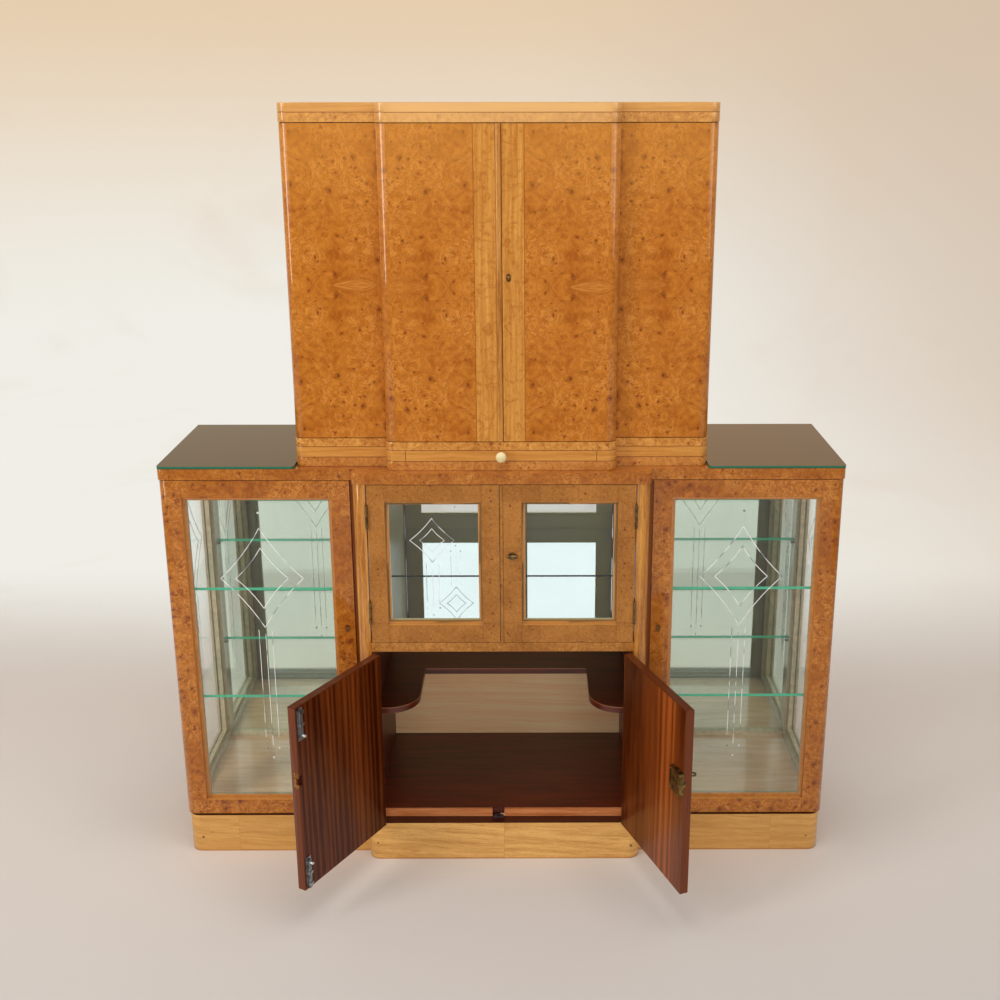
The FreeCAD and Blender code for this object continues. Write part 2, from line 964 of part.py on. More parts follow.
node(group("shelf_cleat_group", cleats), "cupboard_shelf_cleats")

KEEPER_ACROSS = ("bolt_across - keeper_length / 2", "bolt_across + keeper_length / 2")
keepers = []
for tag, along, rise in (
    (
        "bottom",
        ("bolt_closed_near - guide_wall", "bolt_closed_near - guide_wall + keeper_width"),
        ("plinth_height", "plinth_height + keeper_thickness"),
    ),
    (
        "top",
        ("rail_back", "rail_back + keeper_width"),
        ("compartment_low - keeper_thickness", "compartment_low"),
    ),
):
    plate = box("keeper_blank_" + tag, KEEPER_ACROSS, along, rise)
    hole = box(
        "keeper_hole_" + tag,
        SOCKET_ACROSS,
        (
            "bolt_closed_near - fit_gap" if tag == "bottom" else "rail_back",
            "bolt_closed_far + fit_gap",
        ),
        rise,
    )
    keepers.append(cut("keeper_" + tag, plate, [hole]))
node(group("keeper_group", keepers), "bolt_keepers")

# Lower top board and the mirror-glass tops

top_half = "carcass_half_width + top_overhang"
top_front = "front - top_overhang"
break_half = "break_half_width + top_overhang"
break_front = "centre_front - top_overhang"
node(
    prism(
        "lower_top_board",
        [
            (negative(top_half), top_front),
            (negative(break_half), top_front),
            (negative(break_half), break_front),
            (break_half, break_front),
            (break_half, top_front),
            (top_half, top_front),
            (top_half, "back"),
            (negative(top_half), "back"),
        ],
        "lower_top_bottom",
        "lower_top_level",
        {"top_corner_radius": [0, 2, 3, 5]},
    ),
    "lower_top",
)
glass_tops = []
for side, word in SIDES:
    inner, outer = mirrored(
        side, ("upper_half_width + band_overhang + glass_top_gap", top_half)
    )
    glass_tops.append(
        prism(
            "glass_top_" + word,
            [(inner, top_front), (outer, top_front), (outer, "back"), (inner, "back")],
            "lower_top_level",
            "lower_top_level + glass_top_thickness",
            {"glass_top_radius": [0, 1]},
        )
    )
node(group("glass_top_group", glass_tops), "mirror_glass_tops")

# Upper case

BAND_CORNERS = {
    "half": "upper_half_width + band_overhang",
    "step": "upper_break_half + band_overhang",
    "front": "upper_front - band_overhang",
    "centre": "upper_centre_front - band_overhang",
}


def band_board(name, low, high):
    """A shaped board over the whole plan of the upper case."""
    half, step = BAND_CORNERS["half"], BAND_CORNERS["step"]
    near, centre = BAND_CORNERS["front"], BAND_CORNERS["centre"]
    return prism(
        name,
        [
            (negative(half), near),
            (negative(step), near),
            (negative(step), centre),
            (step, centre),
            (step, near),
            (half, near),
            (half, "back"),
            (negative(half), "back"),
        ],
        low,
        high,
        {"leaf_radius": [0, 5], "upper_step_radius": [2, 3]},
    )


node(band_board("upper_base_board", "lower_top_level", "slide_low"), "upper_base")
node(band_board("upper_floor_board", "slide_high", "upper_floor_level"), "upper_floor")
node(band_board("frieze_board", "frieze_low", "upper_top_low"), "upper_frieze")
node(band_board("upper_top_board", "upper_top_low", "overall_height"), "upper_top")

housing = [
    box(
        "slide_back_rail",
        ("-slide_channel", "slide_channel"),
        ("slide_back + slide_rear_gap", "housing_back"),
        ("slide_low", "slide_high"),
    )
]
upper_sides = []
for side, word in SIDES:
    corners = [
        ("slide_channel", BAND_CORNERS["centre"]),
        (BAND_CORNERS["step"], BAND_CORNERS["centre"]),
        (BAND_CORNERS["step"], BAND_CORNERS["front"]),
        (BAND_CORNERS["half"], BAND_CORNERS["front"]),
        (BAND_CORNERS["half"], "cheek_back"),
        ("slide_channel", "cheek_back"),
    ]
    if side < 0:
        corners = [(negative(x), y) for x, y in corners]
    housing.append(
        prism(
            "slide_cheek_" + word,
            corners,
            "slide_low",
            "slide_high",
            {"leaf_radius": [3], "upper_step_radius": [1]},
        )
    )
    panel = side_box(
        "upper_side_blank_" + word,
        side,
        ("upper_side_inner", "upper_half_width"),
        ("upper_side_front", "inner_back"),
        ("upper_floor_level", "frieze_low"),
    )
    cove = rod(
        "upper_cove_" + word,
        "z",
        "cove_radius",
        (
            "upper_pivot_across" if side > 0 else "-upper_pivot_across",
            "upper_pivot_back",
            "upper_floor_level",
        ),
        "frieze_low - upper_floor_level",
    )
    upper_sides.append(cut("upper_side_" + word, panel, [cove]))
node(group("slide_housing_group", housing), "slide_housing")
node(group("upper_side_group", upper_sides), "upper_sides")

# Hidden pivots: a plate with a pin on the case, and a bore in the leaf

pivot_plate = box(
    "pivot_plate",
    ("-pivot_plate_length / 2", "pivot_plate_length / 2"),
    ("-pivot_plate_width / 2", "pivot_plate_width / 2"),
    ("0", "pivot_plate_thickness"),
)
pivot_pin = rod(
    "pivot_pin",
    "z",
    "pivot_pin_radius",
    ("0", "0", "0"),
    "pivot_gap + pivot_pin_length",
)
pivot_master = fuse("pivot_master", [pivot_plate, pivot_pin])


def pivot_bore(name, across, depth, level, upward):
    """The hole for one pivot pin in the end of a leaf."""
    reach = "pivot_pin_length + pivot_bore_spare"
    return rod(
        name,
        "z",
        "pivot_pin_radius + running_clearance",
        (across, depth, level if upward else "(%s) - (%s)" % (level, reach)),
        reach,
    )


pivots = []
for side, word in SIDES:
    for tag, across, depth, low, high in (
        ("vitrine", "pivot_across", "pivot_back", "plinth_height", "lower_top_bottom"),
        ("upper", "upper_pivot_across", "upper_pivot_back", "upper_floor_level", "frieze_low"),
    ):
        here = across if side > 0 else negative(across)
        name = "pivot_%s_%s" % (tag, word)
        pivots.append(placed(name + "_low", pivot_master, (here, depth, low)))
        pivots.append(
            placed(
                name + "_high",
                pivot_master,
                (here, depth, high),
                "180 deg",
                Vector(1, 0, 0),
            )
        )
node(group("pivot_group", pivots), "pivot_pins")

# Upper doors

for side, word in SIDES:
    meeting = "astragal_right + astragal_gap" if side > 0 else "-astragal_left"
    corners = [
        ("upper_break_half", "upper_centre_front"),
        ("upper_break_half", "upper_front"),
        ("upper_half_width", "upper_front"),
        ("upper_half_width", "upper_leaf_back"),
        ("upper_break_half - leaf_thickness", "upper_leaf_back"),
        ("upper_break_half - leaf_thickness", "upper_leaf_centre_back"),
    ]
    if side < 0:
        corners = [(negative(x), y) for x, y in corners]
    corners += [(meeting, "upper_leaf_centre_back"), (meeting, "upper_centre_front")]
    blank = prism(
        "upper_leaf_" + word,
        corners,
        "upper_leaf_low",
        "upper_leaf_high",
        {"leaf_radius": [2], "upper_step_radius": [0]},
    )
    here = "upper_pivot_across" if side > 0 else "-upper_pivot_across"
    bores = [
        pivot_bore("upper_bore_low_" + word, here, "upper_pivot_back", "upper_leaf_low", True),
        pivot_bore("upper_bore_high_" + word, here, "upper_pivot_back", "upper_leaf_high", False),
    ]
    node(cut("upper_door_cut_" + word, blank, bores), "upper_door_" + word)
node(
    prism(
        "astragal",
        [
            ("-astragal_left", "upper_centre_front - astragal_proud"),
            ("astragal_right", "upper_centre_front - astragal_proud"),
            ("astragal_right", "upper_leaf_centre_back"),
            ("-astragal_left", "upper_leaf_centre_back"),
        ],
        "upper_leaf_low",
        "upper_leaf_high",
        {"astragal_radius": [0, 1]},
    ),
    "upper_astragal",
)

# Keyhole plates

plate_blank = fuse(
    "keyhole_plate_blank",
    [
        box(
            "keyhole_plate_middle",
            ("-plate_radius", "plate_radius"),
            ("-plate_thickness", "0"),
            ("-plate_straight / 2", "plate_straight / 2"),
        ),
        rod(
            "keyhole_plate_top",
            "y",
            "plate_radius",
            ("0", "-plate_thickness", "plate_straight / 2"),
            "plate_thickness",
        ),
        rod(
            "keyhole_plate_bottom",
            "y",
            "plate_radius",
            ("0", "-plate_thickness", "-plate_straight / 2"),
            "plate_thickness",
        ),
    ],
)
keyhole = fuse(
    "keyhole_shape",
    [
        rod(
            "keyhole_round",
            "y",
            "keyhole_radius",
            ("0", "-plate_thickness", "keyhole_rise"),
            "plate_thickness",
        ),
        box(
            "keyhole_slot_shape",
            ("-keyhole_slot / 2", "keyhole_slot / 2"),
            ("-plate_thickness", "0"),
            ("keyhole_rise - keyhole_length", "keyhole_rise"),
        ),
    ],
)
keyhole_plate = cut("keyhole_plate_master", plate_blank, [keyhole])
node(
    placed(
        "upper_keyhole_plate_copy",
        keyhole_plate,
        ("upper_key_offset", "upper_centre_front", "upper_key_level"),
    ),
    "upper_keyhole_plate",
)

# Vitrine doors

for side, word in SIDES:
    inner, outer = mirrored(side, ("vitrine_pane_right", "carcass_half_width"))
    stile = prism(
        "vitrine_outer_stile_" + word,
        [(inner, "front"), (outer, "front"), (outer, "vitrine_back"), (inner, "vitrine_back")],
        "vitrine_low",
        "vitrine_high",
        {"leaf_radius": [1 if side > 0 else 0]},
    )
    here = "pivot_across" if side > 0 else "-pivot_across"
    bores = [
        pivot_bore("vitrine_bore_low_" + word, here, "pivot_back", "vitrine_low", True),
        pivot_bore("vitrine_bore_high_" + word, here, "pivot_back", "vitrine_high", False),
    ]
    members = [
        cut("vitrine_stile_cut_" + word, stile, bores),
        side_box(
            "vitrine_inner_stile_board_" + word,
            side,
            ("vitrine_inner_edge", "vitrine_pane_left"),
            ("front", "vitrine_back"),
            ("vitrine_low", "vitrine_high"),
        ),
    ]
    pane = ("vitrine_pane_left", "vitrine_pane_right")
    for tag, rise in (
        ("bottom", ("vitrine_low", "vitrine_pane_low")),
        ("top", ("vitrine_pane_high", "vitrine_high")),
    ):
        members.append(
            side_box(
                "vitrine_%s_rail_board_%s" % (tag, word),
                side,
                pane,
                ("front", "vitrine_back"),
                rise,
            )
        )
    members += ring_of_beads(
        "vitrine_door_bead_" + word,
        "y",
        mirrored(side, pane),
        ("vitrine_pane_low", "vitrine_pane_high"),
        (
            "front + pane_setback + pane_thickness",
            "front + pane_setback + pane_thickness + door_bead",
        ),
        "door_bead",
    )
    node(group("vitrine_frame_group_" + word, members), "vitrine_door_%s_frame" % word)
    node(
        side_box(
            "vitrine_pane_" + word,
            side,
            pane,
            ("front + pane_setback", "front + pane_setback + pane_thickness"),
            ("vitrine_pane_low", "vitrine_pane_high"),
        ),
        "vitrine_door_%s_glass" % word,
    )
    key_across = "vitrine_inner_edge + vitrine_key_inset"
    node(
        placed(
            "vitrine_keyhole_copy_" + word,
            keyhole_plate,
            (key_across if side > 0 else negative(key_across), "front", "vitrine_key_level"),
        ),
        "vitrine_door_%s_keyhole_plate" % word,
    )

# Butt hinge masters, round an upright axis at their own origin

def hinge_leaf(name, direction, knuckles):
    """One hinge leaf; direction is the side of the axis that its plate is on."""
    near, far = "glazed_edge_gap / 2 - hinge_plate", "glazed_edge_gap / 2"
    across = (near, far) if direction > 0 else (negative(far), negative(near))
    members = [
        box(
            name + "_plate",
            across,
            ("hinge_plate_start", "hinge_plate_start + hinge_plate_width"),
            ("0", "hinge_height"),
        )
    ]
    for number in knuckles:
        low = "hinge_pitch * %d + knuckle_gap / 2" % number
        members.append(
            rod(
                "%s_knuckle_%d" % (name, number),
                "z",
                "knuckle_radius",
                ("0", "0", low),
                "hinge_pitch - knuckle_gap",
            )
        )
        members.append(
            box(
                "%s_tab_%d" % (name, number),
                across,
                ("hinge_tab_start", "hinge_plate_start"),
                (low, low + " + hinge_pitch - knuckle_gap"),
            )
        )
    bore = rod(
        name + "_bore",
        "z",
        "hinge_pin_radius + running_clearance",
        ("0", "0", "0"),
        "hinge_height",
    )
    return cut(name, fuse(name + "_body", members), [bore])


knuckle_count = int(SIZES["knuckle_count"])
case_leaf = hinge_leaf("hinge_case_leaf", -1, range(0, knuckle_count, 2))
door_leaf = hinge_leaf("hinge_door_leaf", 1, range(1, knuckle_count, 2))
hinge_pin = fuse(
    "hinge_pin",
    [
        rod(
            "hinge_pin_shank",
            "z",
            "hinge_pin_radius",
            ("0", "0", "-running_clearance * 2"),
            "hinge_height + running_clearance * 4",
        ),
        rod(
            "hinge_pin_foot",
            "z",
            "hinge_head_radius",
            ("0", "0", "-running_clearance * 2 - hinge_head_height"),
            "hinge_head_height",
        ),
        rod(
            "hinge_pin_head",
            "z",
            "hinge_head_radius",
            ("0", "0", "hinge_height + running_clearance * 2"),
            "hinge_head_height",
        ),
    ],
)


def hinge_copy(name, source, side, base):
    """A hinge piece for a left or right door; the right one is turned over."""
    if side < 0:
        return placed(name, source, base)
    across, depth, low = base
    return placed(name, source, (across, depth, low + " + hinge_height"), "180 deg", Vector(0, 1, 0))


HINGE_LEVELS = {
    "glazed": ("glazed_hinge_low", "glazed_hinge_high"),
    "cupboard": ("cupboard_hinge_low", "cupboard_hinge_high"),
}
case_hinges = []
for side, word in SIDES:
    here = "hinge_across" if side > 0 else "-hinge_across"
    for door, levels in HINGE_LEVELS.items():
        for number, level in enumerate(levels):
            tag = "%s_%s_%d" % (door, word, number)
            base = (here, "hinge_back", level)
            case_hinges.append(hinge_copy("case_leaf_" + tag, case_leaf, side, base))
            case_hinges.append(hinge_copy("hinge_pin_" + tag, hinge_pin, side, base))
node(group("case_hinge_group", case_hinges), "butt_hinge_case_leaves")

# Glazed centre doors

latch_spot = ("latch_offset", "centre_front", "latch_level")
for side, word in SIDES:
    meeting = "meeting_bead_half" if side > 0 else "meeting_bead_half + meeting_gap"
    pane = ("glazed_pane_inner", "glazed_pane_outer")
    inner_stile = side_box(
        "glazed_inner_stile_board_" + word,
        side,
        (meeting, "glazed_pane_inner"),
        ("centre_front", "glazed_back"),
        ("glazed_bottom_level", "glazed_high"),
    )
    if side > 0:
        spindle_bore = rod(
            "spindle_bore",
            "y",
            "spindle_radius + running_clearance",
            latch_spot,
            "glazed_thickness",
        )
        inner_stile = cut("glazed_inner_stile_cut", inner_stile, [spindle_bore])
    members = [
        inner_stile,
        side_box(
            "glazed_outer_stile_board_" + word,
            side,
            ("glazed_pane_outer", "glazed_outer"),
            ("centre_front", "glazed_back"),
            ("glazed_bottom_level", "glazed_high"),
        ),
    ]
    for tag, rise in (
        ("bottom", ("glazed_bottom_level", "glazed_pane_low")),
        ("top", ("glazed_pane_high", "glazed_high")),
    ):
        members.append(
            side_box(
                "glazed_%s_rail_board_%s" % (tag, word),
                side,
                pane,
                ("centre_front", "glazed_back"),
                rise,
            )
        )
    members += ring_of_beads(
        "glazed_door_bead_" + word,
        "y",
        mirrored(side, pane),
        ("glazed_pane_low", "glazed_pane_high"),
        (
            "centre_front + glazed_pane_setback + pane_thickness",
            "centre_front + glazed_pane_setback + pane_thickness + door_bead",
        ),
        "door_bead",
    )
    node(group("glazed_frame_group_" + word, members), "glazed_door_%s_frame" % word)
    node(
        side_box(
            "glazed_pane_" + word,
            side,
            pane,
            (
                "centre_front + glazed_pane_setback",
                "centre_front + glazed_pane_setback + pane_thickness",
            ),
            ("glazed_pane_low", "glazed_pane_high"),
        ),
        "glazed_door_%s_glass" % word,
    )
    here = "hinge_across" if side > 0 else "-hinge_across"
    leaves = []
    for number, level in enumerate(HINGE_LEVELS["glazed"]):
        leaves.append(
            hinge_copy(
                "glazed_leaf_%s_%d" % (word, number),
                door_leaf,
                side,
                (here, "hinge_back", level),
            )
        )
    node(group("glazed_hinge_group_" + word, leaves), "glazed_door_%s_hinge_leaves" % word)
node(
    prism(
        "meeting_bead",
        [
            ("-meeting_bead_half", "centre_front - meeting_bead_proud"),
            ("meeting_bead_half", "centre_front - meeting_bead_proud"),
            ("meeting_bead_half", "centre_front - meeting_bead_proud + meeting_bead_depth"),
            ("-meeting_bead_half", "centre_front - meeting_bead_proud + meeting_bead_depth"),
        ],
        "glazed_bottom_level",
        "glazed_high",
        {"meeting_bead_radius": [0, 1]},
    ),
    "glazed_door_meeting_bead",
)
grip = add("Part::Ellipsoid", "latch_grip")
bind(grip, "Radius1", "latch_grip_height")
bind(grip, "Radius2", "latch_grip_half")
bind(grip, "Radius3", "latch_grip_depth")
bind(grip, "Placement.Base.x", "latch_offset")
bind(grip, "Placement.Base.y", "centre_front - latch_grip_stand")
bind(grip, "Placement.Base.z", "latch_level")
node(
    fuse(
        "latch_fused",
        [
            rod(
                "latch_rosette",
                "y",
                "rosette_radius",
                ("latch_offset", "centre_front - fit_gap - rosette_thickness", "latch_level"),
                "rosette_thickness",
            ),
            rod(
                "latch_spindle",
                "y",
                "spindle_radius",
                ("latch_offset", "centre_front - latch_grip_stand", "latch_level"),
                "latch_grip_stand + glazed_thickness + fit_gap + tongue_thickness",
            ),
            grip,
            box(
                "latch_tongue",
                ("latch_offset - tongue_width / 2", "latch_offset + tongue_width / 2"),
                ("glazed_back + fit_gap", "glazed_back + fit_gap + tongue_thickness"),
                ("latch_level - tongue_length", "latch_level + tongue_width / 2"),
            ),
        ],
    ),
    "glazed_door_turn_latch",
)

# Cupboard doors. Their pieces are drawn closed, round the hinge axis, then turned open.

LEAF_TURN = {1: "right_open_angle * 1 deg", -1: "-left_open_angle * 1 deg"}


def hung(label, side, obj):
    """Hangs a piece drawn round the hinge axis on its case, turned open."""
    here = "hinge_across" if side > 0 else "-hinge_across"
    copy = placed(label + "_hung", obj, (here, "hinge_back", "0"), LEAF_TURN[side])
    return node(copy, label)


def leaf_box(name, side, along, depth, up):
    """A box on a cupboard door, measured from its hinge axis to its free edge."""
    return side_box(name, -side, along, depth, up)


for side, word in SIDES:
    leaf = leaf_box(
        "cupboard_leaf_" + word,
        side,
        ("cupboard_hinge_edge", "cupboard_free_edge"),
        ("leaf_face", "cupboard_inner_face"),
        ("cupboard_bottom_level", "cupboard_top_level"),
    )
    if side > 0:
        mortise = leaf_box(
            "lock_mortise",
            side,
            (
                "cupboard_free_edge - fit_gap * 2 - lock_bolt_length - socket_depth / 2",
                "cupboard_free_edge",
            ),
            ("lock_bolt_near - fit_gap", "cupboard_inner_face"),
            ("lock_bolt_low - fit_gap", "lock_bolt_low + lock_bolt_height + fit_gap"),
        )
        key_way = rod(
            "key_way",
            "y",
            "keyhole_radius",
            ("-key_offset", "leaf_face", "lock_level"),
            "cupboard_thickness",
        )
        leaf = cut("cupboard_leaf_cut_" + word, leaf, [mortise, key_way])
    else:
        strike = leaf_box(
            "lock_strike",
            side,
            ("cupboard_free_edge - strike_length", "cupboard_free_edge"),
            ("lock_bolt_near - fit_gap", "cupboard_inner_face"),
            ("lock_level - strike_height / 2", "lock_level + strike_height / 2"),
        )
        leaf = cut("cupboard_leaf_cut_" + word, leaf, [strike])
    hung("cupboard_door_" + word, side, leaf)
    leaves = []
    for number, level in enumerate(HINGE_LEVELS["cupboard"]):
        leaves.append(
            hinge_copy(
                "cupboard_leaf_hinge_%s_%d" % (word, number),
                door_leaf,
                side,
                ("0", "0", level),
            )
        )
    hung(
        "cupboard_door_%s_hinge_leaves" % word,
        side,
        group("cupboard_hinge_group_" + word, leaves),
    )

# Slide bolts on the left cupboard door

plates = []
for tag, edge, way in (
    ("top", "cupboard_top_level", "-"),
    ("bottom", "cupboard_bottom_level", "+"),
):
    def from_edge(near, far, edge=edge, way=way):
        """A height range counted inwards from the end of the door."""
        first = "%s %s (%s)" % (edge, way, near)
        second = "%s %s (%s)" % (edge, way, far)
        return (first, second) if way == "+" else (second, first)

    pieces = [
        leaf_box(
            "bolt_plate_" + tag,
            -1,
            ("bolt_offset - bolt_plate_width / 2", "bolt_offset + bolt_plate_width / 2"),
            ("cupboard_inner_face", "bolt_plate_face"),
            from_edge("bolt_plate_inset", "bolt_plate_inset + bolt_plate_length"),
        )
    ]
    for number, inset in enumerate(("guide_first_inset", "guide_second_inset")):
        rise = from_edge(inset, inset + " + guide_height")
        shell = leaf_box(
            "guide_shell_%s_%d" % (tag, number),
            -1,
            ("bolt_offset - guide_outer", "bolt_offset + guide_outer"),
            ("bolt_plate_face", "bolt_far + fit_gap + guide_cap"),
            rise,
        )
        way_through = leaf_box(
            "guide_way_%s_%d" % (tag, number),
            -1,
            ("bolt_offset - guide_inner", "bolt_offset + guide_inner"),
            ("bolt_plate_face", "bolt_far + fit_gap"),
            rise,
        )
        pieces.append(cut("guide_%s_%d" % (tag, number), shell, [way_through]))
    plates.append(fuse("bolt_plate_fused_" + tag, pieces))
    knob_level = "%s %s bolt_knob_inset" % (edge, way)
    bar = fuse(
        "slide_bolt_" + tag,
        [
            leaf_box(
                "bolt_bar_" + tag,
                -1,
                ("bolt_offset - bolt_width / 2", "bolt_offset + bolt_width / 2"),
                ("bolt_near", "bolt_far"),
                from_edge("bolt_end_inset", "bolt_end_inset + bolt_length"),
            ),
            rod(
                "bolt_knob_" + tag,
                "y",
                "bolt_knob_radius",
                ("bolt_offset", "bolt_far - bolt_depth / 2", knob_level),
                "bolt_knob_length + bolt_depth / 2",
            ),
        ],
    )
    hung("%s_slide_bolt" % tag, -1, bar)
hung("slide_bolt_plates", -1, group("bolt_plate_group", plates))

# Lock, key and keyhole plate on the right cupboard door

lock_box = leaf_box(
    "lock_box",
    1,
    ("cupboard_free_edge - lock_width", "cupboard_free_edge"),
    ("cupboard_inner_face", "cupboard_inner_face + lock_depth"),
    ("lock_level - lock_height / 2", "lock_level + lock_height / 2"),
)
lock_hollow = leaf_box(
    "lock_hollow",
    1,
    ("cupboard_free_edge - lock_width + lock_wall", "cupboard_free_edge - lock_wall"),
    ("cupboard_inner_face", "cupboard_inner_face + lock_depth - lock_wall"),
    (
        "lock_level - lock_height / 2 + lock_wall",
        "lock_level + lock_height / 2 - lock_wall",
    ),
)
lock_case = cut("lock_case", lock_box, [lock_hollow])
outer_plate = placed(
    "lock_keyhole_plate",
    keyhole_plate,
    ("-key_offset", "leaf_face", "lock_level - keyhole_rise"),
)
hung(
    "cupboard_lock_and_keyhole_plate",
    1,
    group("lock_group", [lock_case, outer_plate]),
)
hung(
    "cupboard_lock_bolt",
    1,
    leaf_box(
        "lock_bolt_bar",
        1,
        (
            "cupboard_free_edge - fit_gap - lock_bolt_length",
            "cupboard_free_edge - fit_gap",
        ),
        ("lock_bolt_near", "lock_bolt_near + lock_bolt_depth"),
        ("lock_bolt_low", "lock_bolt_low + lock_bolt_height"),
    ),
)
bow_middle = "leaf_face - key_outer_reach + key_bow_radius"
bow = cut(
    "key_bow",
    rod(
        "key_bow_disc",
        "z",
        "key_bow_radius",
        ("-key_offset", bow_middle, "lock_level - key_bow_thickness / 2"),
        "key_bow_thickness",
    ),
    [
        rod(
            "key_bow_opening",
            "z",
            "key_bow_hole",
            ("-key_offset", bow_middle, "lock_level - key_bow_thickness / 2"),
            "key_bow_thickness",
        )
    ],
)
shank_start = bow_middle + " + (key_bow_radius + key_bow_hole) / 2"
key = fuse(
    "key_fused",
    [
        bow,
        rod(
            "key_shank",
            "y",
            "key_radius",
            ("-key_offset", shank_start, "lock_level"),
            "cupboard_inner_face + key_inner_reach - (%s)" % shank_start,
        ),
        rod(
            "key_collar",
            "y",
            "key_collar_radius",
            ("-key_offset", bow_middle + " + key_bow_radius", "lock_level"),
            "key_collar_length",
        ),
        box(
            "key_bit",
            ("-key_offset", "key_bit_width - key_offset"),
            (
                "cupboard_inner_face + key_inner_reach - key_bit_length",
                "cupboard_inner_face + key_inner_reach",
            ),
            (
                "lock_level - key_bow_thickness / 2",
                "lock_level + key_bow_thickness / 2",
            ),
        ),
    ],
)
hung("cupboard_key", 1, key)

# Mixing slide

node(
    box(
        "slide_board_blank",
        ("-slide_half_width", "slide_half_width"),
        ("slide_front_back", "slide_back"),
        ("slide_low + fit_gap", "slide_high - fit_gap"),
    ),
    "mixing_slide_board",
)
slide_face = box(
    "slide_face",
    ("-slide_half_width", "slide_half_width"),
    ("upper_centre_front - band_overhang", "slide_front_back"),
    ("slide_low + fit_gap", "slide_high - fit_gap"),
)
face_plane = "upper_centre_front - band_overhang"
spigot_hole = rod(
    "knob_hole",
    "y",
    "knob_spigot_radius + running_clearance",
    ("0", face_plane, "slide_middle"),
    "knob_spigot_length + running_clearance",
)
node(cut("slide_front_cut", slide_face, [spigot_hole]), "mixing_slide_front")
ball = add("Part::Ellipsoid", "knob_ball")
bind(ball, "Radius1", "knob_radius")
bind(ball, "Radius2", "knob_radius")
bind(ball, "Radius3", "knob_half_depth")
bind(ball, "Placement.Base.y", face_plane + " - knob_stand + knob_half_depth")
bind(ball, "Placement.Base.z", "slide_middle")
node(
    fuse(
        "knob_fused",
        [
            ball,
            rod(
                "knob_neck",
                "y",
                "knob_neck_radius",
                ("0", face_plane + " - knob_stand + knob_half_depth", "slide_middle"),
                "knob_stand - knob_half_depth",
            ),
            rod(
                "knob_spigot",
                "y",
                "knob_spigot_radius",
                ("0", face_plane, "slide_middle"),
                "knob_spigot_length",
            ),
        ],
    ),
    "mixing_slide_knob",
)

# Check every object, then write one file for each node

doc.recompute()
for obj in doc.Objects:
    if "Invalid" in obj.State or "Error" in obj.State:
        raise RuntimeError("bad object %s: %s" % (obj.Name, obj.State))
for label, obj in NODES.items():
    shape = obj.Shape
    if shape.isNull() or not shape.isValid() or not shape.Solids:
        raise RuntimeError("bad shape for %s" % label)
    shape.exportStep(os.path.join("parts", label + ".step"))
print("%d nodes" % len(NODES))
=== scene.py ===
import math

import bmesh
import bpy
from bpy.props import FloatProperty, FloatVectorProperty, PointerProperty
from mathutils import Matrix, Vector


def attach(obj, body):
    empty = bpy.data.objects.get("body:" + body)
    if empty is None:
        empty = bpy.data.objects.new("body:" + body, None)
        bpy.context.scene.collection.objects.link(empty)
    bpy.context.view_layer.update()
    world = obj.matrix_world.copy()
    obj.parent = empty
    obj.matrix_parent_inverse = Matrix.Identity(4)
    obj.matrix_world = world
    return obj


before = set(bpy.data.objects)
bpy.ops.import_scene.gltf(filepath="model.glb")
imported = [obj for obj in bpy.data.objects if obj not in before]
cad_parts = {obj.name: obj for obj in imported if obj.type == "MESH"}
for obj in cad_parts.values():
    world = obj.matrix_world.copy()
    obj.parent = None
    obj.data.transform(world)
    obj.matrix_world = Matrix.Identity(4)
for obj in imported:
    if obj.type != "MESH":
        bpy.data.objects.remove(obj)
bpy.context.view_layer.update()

bl_info = {
    "name": "Bar cabinet finishes",
    "version": (1, 0, 0),
    "blender": (4, 5, 0),
    "location": "3D View > Sidebar > Cabinet",
    "description": "Veneers, glass cutting, small fittings and the studio of a burr-veneered bar cabinet",
    "category": "Object",
}


def reach(name):
    """The lowest and the highest corner of a CAD node."""
    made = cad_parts[name]
    corners = [made.matrix_world @ Vector(corner) for corner in made.bound_box]
    return [Vector([pick(corner[axis] for corner in corners) for axis in range(3)]) for pick in (min, max)]


# Places on the cabinet, in metres. Its front faces -Y, and X = 0 is its middle. The upper doors, LEAF thick,
# step back at STEP, and their four leaves of veneer meet at EYE_LEVEL. BANDING is half the width of the
# golden banding. SWINGS says how far the cupboard doors stand open, HINGE_LEVELS where the hinges begin, and
# BOLT_ALONG how far the slide bolts are from the hinge line.
SKIN = 0.0003
OPENING = reach("centre_rail")[1].x
PARTITION_MIDDLE = (OPENING + reach("partitions")[1].x) / 2
LEAF = 0.024
STEP = 0.241
STEP_DEPTH = 0.0333
CENTRE_FRONT = reach("upper_door_right")[0].y
SIDE_FRONT = CENTRE_FRONT + STEP_DEPTH
EYE_LEVEL = 1.303
UPPER_CASE_LEVEL = 0.95
BANDING = 0.0503
BAND_LEVELS = [reach(name)[0].z for name in ("upper_base", "slide_housing", "upper_floor", "upper_top")]
HINGE_ACROSS = 0.2837
HINGE_BACK = -0.2131
SWINGS = {"left": (-1, -math.radians(119.8)), "right": (1, math.radians(111.5))}
HINGE_LEVELS = {"cupboard": (0.1345, 0.422), "glazed": (0.581, 0.7985)}
BOLT_ALONG = 0.270


def paint(red, green, blue):
    """A colour given as it looks on a screen, 0 to 255, as the linear values that shaders use."""
    return [((c / 255 + 0.055) / 1.055) ** 2.4 if c > 10 else c / 3295 for c in (red, green, blue)] + [1.0]


def colour(name, description, *screen):
    """A colour setting."""
    return FloatVectorProperty(
        name=name, description=description, size=4, subtype="COLOR", min=0, max=1, default=paint(*screen)
    )


def length(name, description, metres):
    """A length setting, in metres."""
    return FloatProperty(
        name=name, description=description, default=metres, min=0, precision=4, unit="LENGTH"
    )


